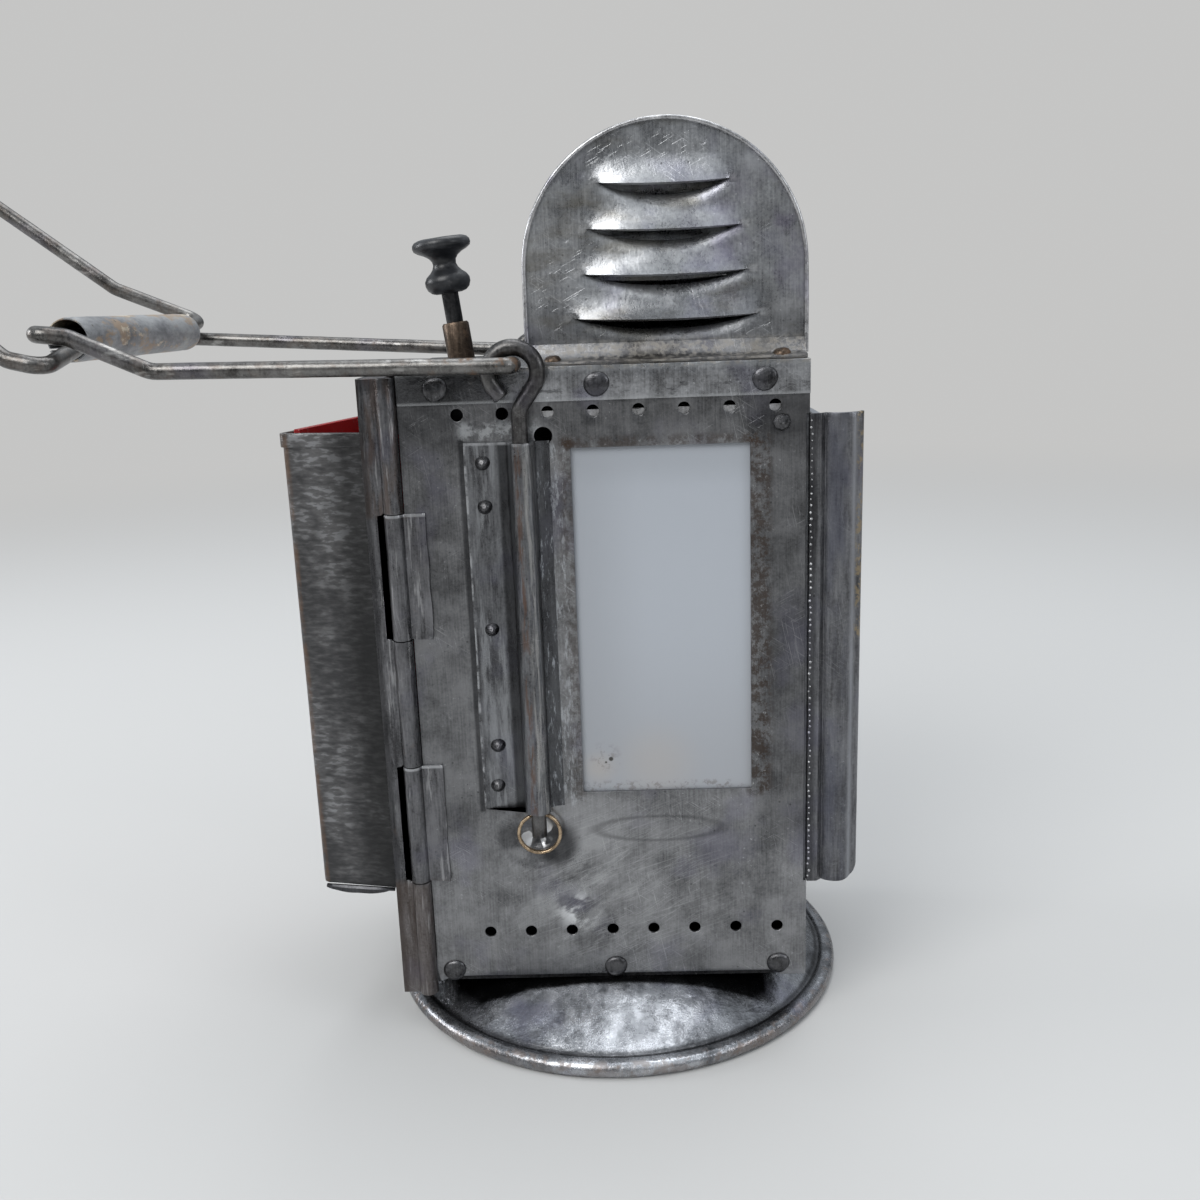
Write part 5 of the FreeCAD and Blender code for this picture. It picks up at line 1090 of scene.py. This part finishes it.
def makeWing():
    def press(co):
        wave = smoothNoise((0, 0, co.z), 22, 5) * 0.2 + smoothNoise((co.x, co.y, co.z), 7, 2) * 0.06
        if abs(co.y) > 40 and co.x > 61:
            return (0, wave * (1 if co.y < 0 else -1), 0)
        return (0, 0, 0)

    refined("right_wing", "wing", offset=0.18, shape=press, angle=42,
            slices=[("z", 46, 184.1, 3.4), ("x", 58, 72, 2.0)])
    unit = bmesh.new()
    bmesh.ops.create_icosphere(unit, subdivisions=2, radius=0.36)
    spots = []
    for sign in (-1, 1):
        for i in range(76):
            z = 48 + 134 * i / 75
            spots.append(((57.95 + 0.15 * smoothNoise((0, 0, z), 9, 3), sign * 43.45, z),
                          (0, sign, 0)))
    repeatPiece("wingCrimp", unit, spots, "lamp", "rim", (), 0.35, 0.22, 5)


# hood: smooth pressed louvres, rolled rim and flared foot

hood = {"middle": 19.3, "spring": 223.4, "half": 38.2, "plane": 36.45, "sheet": 0.85,
        "bottom": 199.7, "top": 261.0, "crown": 261.55, "columns": 72, "step": 0.95,
        "frontSlit": 2.7, "rearSlit": 0.35, "lipCurve": 0.7, "pressHeight": 7.6,
        "sinkDepth": 1.5, "sinkHeight": 3.4, "rimRadius": 37.9, "rimLine": 37.0, "rimWire": 0.6}
# each louvre's level, half length and how far it stands out
louvres = [{"level": 210.2, "half": 25.3, "bulge": 3.4}, {"level": 221.8, "half": 22.3, "bulge": 3.3},
           {"level": 233.4, "half": 20.6, "bulge": 3.1}, {"level": 245.0, "half": 17.4, "bulge": 2.9}]


def hoodHalf(z):
    rise = max(0.0, z - hood["spring"])
    return math.sqrt(max(0.0, hood["half"] ** 2 - rise ** 2))


# how far along a louvre a point is, 1 at its ends
def alongLouvre(index, x):
    return abs((x - hood["middle"]) / louvres[index]["half"])


def upperLip(index, x):
    t = alongLouvre(index, x)
    curve = hood["lipCurve"]
    return louvres[index]["level"] + (curve * t * t if t < 1 else curve / (1 + 2.2 * (t - 1)) ** 2)


# the rear slits are barely open, so that no daylight shows straight through the hood
def lowerLip(index, x, opening):
    t = alongLouvre(index, x)
    return upperLip(index, x) - (opening * (1 - t ** 2.2) if t < 1 else 0)


# how far the pressed panel stands out of its own plane; above is the louvre just over a slit
def hoodDepth(x, z, above, opening):
    out = 0.0
    for index, louvre in enumerate(louvres):
        t = alongLouvre(index, x)
        if t >= 1.1:
            continue
        across = (1 - (t / 1.1) ** 2.4) ** 0.9
        rise = z - upperLip(index, x)
        fall = lowerLip(index, x, opening) - z
        if rise > 0 or (rise > -1e-4 and above == index):
            out += louvre["bulge"] * across * max(0.0, 1 - rise / hood["pressHeight"]) ** 1.7
        elif fall > -0.01:
            out -= hood["sinkDepth"] * across * max(0.0, 1 - fall / hood["sinkHeight"]) ** 1.4
    return out + smoothNoise((x, 0, z), 22, 4) * 0.3 + smoothNoise((x, 5, z), 9, 14) * 0.08


def hoodPanel(side):
    sign, opening = (-1 if side == "front" else 1), hood[f"{side}Slit"]
    bm = bmesh.new()
    columns = hood["columns"]
    breaks = [hood["bottom"]] + [louvre["level"] for louvre in louvres] + [hood["top"]]
    fields = []
    for k, (low, high) in enumerate(zip(breaks, breaks[1:])):
        steps = max(5, round((high - low) / hood["step"]))
        field = []
        for r in range(steps + 1):
            t = r / steps
            row = []
            for c in range(columns + 1):
                u = -1 + 2 * c / columns
                u = math.sin(u * math.pi / 2) * 0.35 + u * 0.65
                level = low + (high - low) * t
                x = hood["middle"] + u * hoodHalf(level)
                z = level
                if k > 0:
                    z += (upperLip(k - 1, x) - breaks[k]) * (1 - t) ** 2
                if k < len(louvres):
                    z += (lowerLip(k, x, opening) - breaks[k + 1]) * t ** 3
                z = min(z, hood["crown"])
                if r == steps and k < len(louvres):
                    depth = hoodDepth(x, z - 1e-3, -1, opening)
                elif r == 0 and k > 0:
                    depth = hoodDepth(x, z + 1e-5, k - 1, opening)
                else:
                    depth = hoodDepth(x, z, -1, opening)
                row.append(bm.verts.new((x, sign * (hood["plane"] + depth), z)))
            field.append(row)
        fields.append(field)
    for field in fields:
        for low, high in zip(field, field[1:]):
            for c in range(columns):
                bm.faces.new((low[c], low[c + 1], high[c + 1], high[c]))
    # beyond the slit's ends the two lips are one sheet
    for k in range(1, len(fields)):
        targets = {}
        for a, b in zip(fields[k - 1][-1], fields[k][0]):
            if alongLouvre(k - 1, b.co.x) > 0.985:
                b.co = a.co.copy()
                targets[b] = a
        bmesh.ops.weld_verts(bm, targetmap=targets)
    bmesh.ops.dissolve_degenerate(bm, dist=0.004, edges=bm.edges)
    bmesh.ops.recalc_face_normals(bm, faces=bm.faces)
    if sum(f.normal.y * f.calc_area() for f in bm.faces) * sign < 0:
        bmesh.ops.reverse_faces(bm, faces=bm.faces[:])
    bmesh.ops.solidify(bm, geom=bm.faces[:], thickness=hood["sheet"])
    return bm


# the flared strip that carries the hood's rivets
def hoodFoot(sign):
    bm = bmesh.new()
    profile = [(36.3, 204.4), (37.0, 204.3), (37.5, 202.6), (38.4, 201.0), (39.6, 200.1),
               (41.8, 199.75), (41.9, 199.2), (41.6, 198.85), (39.2, 198.85), (36.3, 198.85)]
    rows = []
    steps = 60
    for i in range(steps + 1):
        x = -18.4 + 75.4 * i / steps
        wave = smoothNoise((x, 0, 0), 9, 6) * 0.22
        rows.append([bm.verts.new((x, sign * (y + (wave if y > 38 else 0)),
                                   z + (abs(wave) * 0.8 if y > 38 and z > 199 else 0)))
                     for y, z in profile])
    for low, high in zip(rows, rows[1:]):
        bridge(bm, low, high)
    bm.faces.new(rows[0])
    bm.faces.new(list(reversed(rows[-1])))
    return bm


def makeHood():
    middle, radius = hood["middle"], hood["rimRadius"]
    for side, sign in (("front", -1), ("rear", 1)):
        bm = hoodPanel(side)
        joinInto(bm, hoodFoot(sign))
        finishPiece(f"{side}HoodSheet", bm, "lamp", "hood",
                    (f"hood_{side}_panel",), 48)
        legSteps = 8
        path = [(middle + radius, 200.2 + 3.2 * i) for i in range(legSteps)]
        path += arcPoints((middle, hood["spring"]), radius, 0, 180, 60)
        path += [(middle - radius, 220.4 - 3.2 * i) for i in range(legSteps - 1)]
        path = [(x, sign * hood["rimLine"], z) for x, z in path]
        rim = tubeMesh(path, hood["rimWire"], 12, 0.14, 0.14)
        finishPiece(f"{side}HoodRim", rim, "lamp", "rim")
    refined("hood_vault", "hood", offset=0.1,
            slices=[("y", -36, 36, 4.0)],
            shape=lambda co: (0, 0, 0) if co.z < 203 else tuple(
                Vector((co.x - middle, 0, co.z - hood["spring"])).normalized()
                * smoothNoise((co.x, co.y, co.z), 20, 5) * 0.25))
    spots = [((x, sign * 39.3, 199.6), Vector((0, sign * 0.35, 1)).normalized())
             for x in (middle - 31.0, middle + 31.0) for sign in (-1, 1)]
    repeatPiece("hoodRivets", rivetHead("domed", 2.3, 1.9), spots, "lamp", "brown",
                ("hood_rivets",), 0.05, 0.05, 9)


# wires

wires = {"rod": 2.22, "bail": 2.23, "sides": 22, "rodX": -20.9, "rodLine": 46.7, "tail": 64.0,
         "eye": (-22.05, 197.7), "eyeRadius": 6.6, "pivot": (-22.05, 199.72), "armLine": 51.5,
         "frontRing": 6.05, "rearRing": 5.45, "ringHang": 71.05, "ringWire": 0.52,
         "ringPitch": 1.1, "ringSteps": 110}


def eyePath(sign):
    rodX = wires["rodX"]
    path = bentPath([(rodX, 0, wires["tail"]), (rodX, 0, 187.8), (-16.64, 0, 193.91)], 6.0, 4.0, 0.9)
    flat = [(p.x, p.z) for p in path]
    flat += arcPoints(wires["eye"], wires["eyeRadius"], -35, 215, 34)[1:]
    last = flat[-1]
    flat += [(last[0] + 0.574 * s, last[1] - 0.819 * s) for s in (1.2, 2.4, 3.6)]
    return [(x, sign * wires["rodLine"], z) for x, z in flat]


def makeWires():
    for side, sign in (("front", -1), ("rear", 1)):
        bm = tubeMesh(eyePath(sign), wires["rod"], wires["sides"], 0.03, 0.02)
        finishPiece(f"{side}HangerRod", bm, f"rod_{side}", "rod", (f"{side}_rod",),
                    60)
        loop = []
        radius = wires[f"{side}Ring"]
        for i in range(wires["ringSteps"]):
            share = i / wires["ringSteps"]
            a = 4 * math.pi * share + math.pi / 2 + 0.4
            loop.append((wires["rodX"] + radius * math.cos(a),
                         sign * wires["rodLine"] + wires["ringPitch"] * (share - 0.5),
                         wires["ringHang"] - radius + radius * math.sin(a)))
        bm = tubeMesh(loop, wires["ringWire"], 12, 0.0, 0.0)
        finishPiece(f"{side}SplitRing", bm, f"ring_{side}", "ring",
                    (f"{side}_split_ring",), 60)
    (pivotX, pivotLevel), armLine = wires["pivot"], wires["armLine"]
    lower = bentPath([
        (pivotX, -44.3, pivotLevel), (pivotX, -armLine, pivotLevel), (-117, -armLine, 201.3),
        (-136.5, -55.0, 210.9), (-144.6, -58.0, 212.0), (-144.6, 56.5, 207.6),
        (pivotX, armLine, pivotLevel), (pivotX, 44.3, pivotLevel)])
    bm = tubeMesh(lower, wires["bail"], wires["sides"], 0.03, 0.05)
    finishPiece("lowerBailWire", bm, "lower_bail", "wire", ("lower_bail",), 60)
    upper = bentPath([
        (-139.8, -0.4, 210.0), (-139.8, -42, 208.0), (-139.8, -62.6, 203.6),
        (-149.6, -62.6, 206.0), (-233.6, -51.5, 277.0), (-233.6, 51.5, 277.0),
        (-167.0, 53.9, 225.2), (-139.8, 58.4, 213.2), (-139.8, 46, 212.0), (-139.8, 0.4, 210.0)])
    bm = tubeMesh(upper, wires["bail"], wires["sides"], 0.03, 0.05)
    finishPiece("upperBailWire", bm, "upper_bail", "wire", ("upper_bail",), 60)


# a rolled sheet sleeve whose two edges meet in a seam
grip = {"start": -42, "length": 88, "axis": (-142.2, 210), "inner": 5.46, "outer": 6.04,
        "seam": 205, "gap": 6, "sides": 64, "rows": 60}


def makeGrip():
    bm = bmesh.new()
    sides, rows = grip["sides"], grip["rows"]
    inner, outer = grip["inner"], grip["outer"]
    acrossAxis, level = grip["axis"]
    grid = []
    for k in range(rows + 1):
        y = grip["start"] + grip["length"] * k / rows
        ring = []
        for i in range(sides + 1):
            a = math.radians(grip["seam"] + grip["gap"] / 2 + (360 - grip["gap"]) * i / sides)
            dent = 0.16 * smoothNoise((math.cos(a) * 6, y, math.sin(a) * 6), 8, 4)
            lift = 0.35 * (1 - min(1, i / 4)) if i < 4 else 0
            radius = outer + dent + lift - (0.22 if k in (0, rows) else 0)
            ring.append((a, radius, y))
        grid.append(ring)
    outside = [[bm.verts.new((acrossAxis + r * math.cos(a), y, level + r * math.sin(a)))
                for a, r, y in ring] for ring in grid]
    inside = [[bm.verts.new((acrossAxis + inner * math.cos(a), y, level + inner * math.sin(a)))
               for a, r, y in ring] for ring in grid]
    for k in range(rows):
        for i in range(sides):
            bm.faces.new((outside[k][i], outside[k][i + 1], outside[k + 1][i + 1],
                          outside[k + 1][i]))
            bm.faces.new((inside[k][i], inside[k + 1][i], inside[k + 1][i + 1],
                          inside[k][i + 1]))
        for i in (0, sides):
            bm.faces.new((outside[k][i], outside[k + 1][i], inside[k + 1][i], inside[k][i]))
    for k in (0, rows):
        for i in range(sides):
            bm.faces.new((outside[k][i], outside[k][i + 1], inside[k][i + 1], inside[k][i]))
    finishPiece("rolledGrip", bm, "lower_bail", "grip", ("hand_grip",), 45)


# key

keyPlace = {"foot": (-38.7, -20, 198.8), "lean": -7}


def leaned(bm):
    lean = Matrix.Rotation(math.radians(keyPlace["lean"]), 4, "Y")
    bmesh.ops.transform(bm, matrix=Matrix.Translation(keyPlace["foot"]) @ lean, verts=bm.verts)
    return bm


def makeKey():
    knob = [(0, 20.6), (2.35, 20.5), (3.6, 20.4), (4.9, 20.8), (5.9, 21.7), (6.4, 23.0),
            (6.35, 24.2), (5.7, 25.3), (4.6, 26.2), (3.7, 27.2), (3.25, 28.3), (3.4, 29.4),
            (4.1, 30.4), (5.4, 31.3), (7.0, 32.0), (8.0, 32.7), (8.25, 33.5), (8.1, 34.4),
            (7.5, 35.1), (6.6, 35.45), (6.2, 35.2), (5.6, 35.35), (3.0, 35.6), (0, 35.65)]
    bm = leaned(lathe(knob, segments=72, shape=lambda p, r, a: (
        0, 0, 0.1 * smoothNoise((p.x, p.y, p.z), 3.5, 4))))
    finishPiece("turnedKnob", bm, "key", "knob", ("key_knob",), 60)
    stem = [(0, -36.5), (2.4, -36.5), (2.4, 4), (2.36, 12.4), (2.4, 13), (2.4, 20.9), (0, 20.9)]
    finishPiece("keyStemRod", leaned(lathe(stem, segments=32)), "key", "stem",
                ("key_stem",), 40)
    ferrule = [(2.5, -3), (3.8, -3), (3.8, 0), (3.85, 4), (3.8, 11.6), (3.4, 12.2), (2.5, 12.2)]
    bm = leaned(lathe(ferrule, segments=48, closed=True, shape=lambda p, r, a: (
        0.06 * math.cos(a) * smoothNoise((p.x, p.y, p.z), 3, 2),
        0.06 * math.sin(a) * smoothNoise((p.x, p.y, p.z), 3, 2), 0)))
    finishPiece("keyFerrule", bm, "lamp", "brown", ("key_ferrule",), 40)


def dressNodes():
    plain = {
        "base": ["rim_wire", "bottom_plate"],
        "stem": ["body_floor"],
        "sheet": ["spring_bracket", "shutter_screen", "shutter_guides",
                  "shutter_plate", "reflector_strap", "font_socket"],
        "opal": ["front_pane", "right_pane"],
        "wire": ["hinge_pin", "return_spring"],
        "brown": ["stem_collars"],
        "brass": ["oil_font", "filler_cap", "burner", "wick_wheel"],
        "bright": ["reflector"],
        "wick": ["wick"],
    }
    for look, names in plain.items():
        for name in names:
            mesh = nodes[name].data
            for i in range(len(mesh.materials)):
                mesh.materials[i] = looks[look]
            if not mesh.materials:
                mesh.materials.append(looks[look])


makeBase()
makeRivets()
makeSheets()
makePocket()
makeWing()
print("sheets made")
makeHood()
print("hood made")
makeWires()
makeGrip()
makeKey()
dressNodes()
print("pieces made")


# floor, world and lights

floorMesh = bpy.data.meshes.new("floor")
bm = bmesh.new()
bmesh.ops.create_grid(bm, x_segments=1, y_segments=1, size=12)
bm.to_mesh(floorMesh)
bm.free()
floor = bpy.data.objects.new("floor", floorMesh)
bpy.context.collection.objects.link(floor)
floorLook = Shader("paleFloor")
far = floorLook.make("ShaderNodeVectorMath", {0: floorLook.place}, out="Value",
                     operation="LENGTH").over(450, 1500)
wallTone = (0.56, 0.56, 0.555)
floorLook.put(color=floorLook.mix((0.5, 0.5, 0.495), (0.0, 0.0, 0.0), far), rough=0.9,
              glow=floorLook.mix((0.0, 0.0, 0.0), wallTone, far), glowStrength=1.0, shine=0.0)
floorMesh.materials.append(floorLook.material)

# seen by the camera the world is a plain wall; as light it is dark low down and bright above
world = bpy.data.worlds.new("studio")
bpy.context.scene.world = world
world.use_nodes = True
tree = world.node_tree
tree.nodes.clear()
output = tree.nodes.new("ShaderNodeOutputWorld")
shown = tree.nodes.new("ShaderNodeBackground")
lit = tree.nodes.new("ShaderNodeBackground")
mixed = tree.nodes.new("ShaderNodeMixShader")
ray = tree.nodes.new("ShaderNodeLightPath")
place = tree.nodes.new("ShaderNodeTexCoord")
parts = tree.nodes.new("ShaderNodeSeparateXYZ")
climb = tree.nodes.new("ShaderNodeMapRange")
climb.interpolation_type = "SMOOTHSTEP"
for key, value in {"From Min": 0.0, "From Max": 0.8, "To Min": 0.16, "To Max": 0.85}.items():
    climb.inputs[key].default_value = value
shown.inputs["Color"].default_value = (*wallTone, 1)
lit.inputs["Color"].default_value = (0.9, 0.95, 1.0, 1)
tree.links.new(place.outputs["Generated"], parts.inputs[0])
tree.links.new(parts.outputs["Z"], climb.inputs["Value"])
tree.links.new(climb.outputs[0], lit.inputs["Strength"])
tree.links.new(ray.outputs["Is Camera Ray"], mixed.inputs[0])
tree.links.new(lit.outputs[0], mixed.inputs[1])
tree.links.new(shown.outputs[0], mixed.inputs[2])
tree.links.new(mixed.outputs[0], output.inputs[0])

lights = {
    "key": {"place": (-0.75, -1.15, 1.35), "size": 1.0, "power": 19, "color": (1.0, 0.99, 0.97)},
    "fill": {"place": (1.3, -0.7, 0.7), "size": 0.6, "power": 4, "color": (0.95, 0.97, 1.0)},
    "side": {"place": (-1.3, 0.1, 0.55), "size": 0.5, "power": 6, "color": (0.97, 0.98, 1.0)},
    "top": {"place": (0.15, 0.35, 1.5), "size": 1.0, "power": 9, "color": (0.97, 0.98, 1.0)},
}
for name, item in lights.items():
    data = bpy.data.lights.new(name, "AREA")
    data.size = item["size"]
    data.energy = item["power"]
    data.color = item["color"]
    lamp = bpy.data.objects.new(name, data)
    lamp.location = item["place"]
    aim = Vector((0, 0, 0.12)) - Vector(item["place"])
    lamp.rotation_euler = aim.to_track_quat("-Z", "Y").to_euler()
    bpy.context.collection.objects.link(lamp)
print("stage lit")
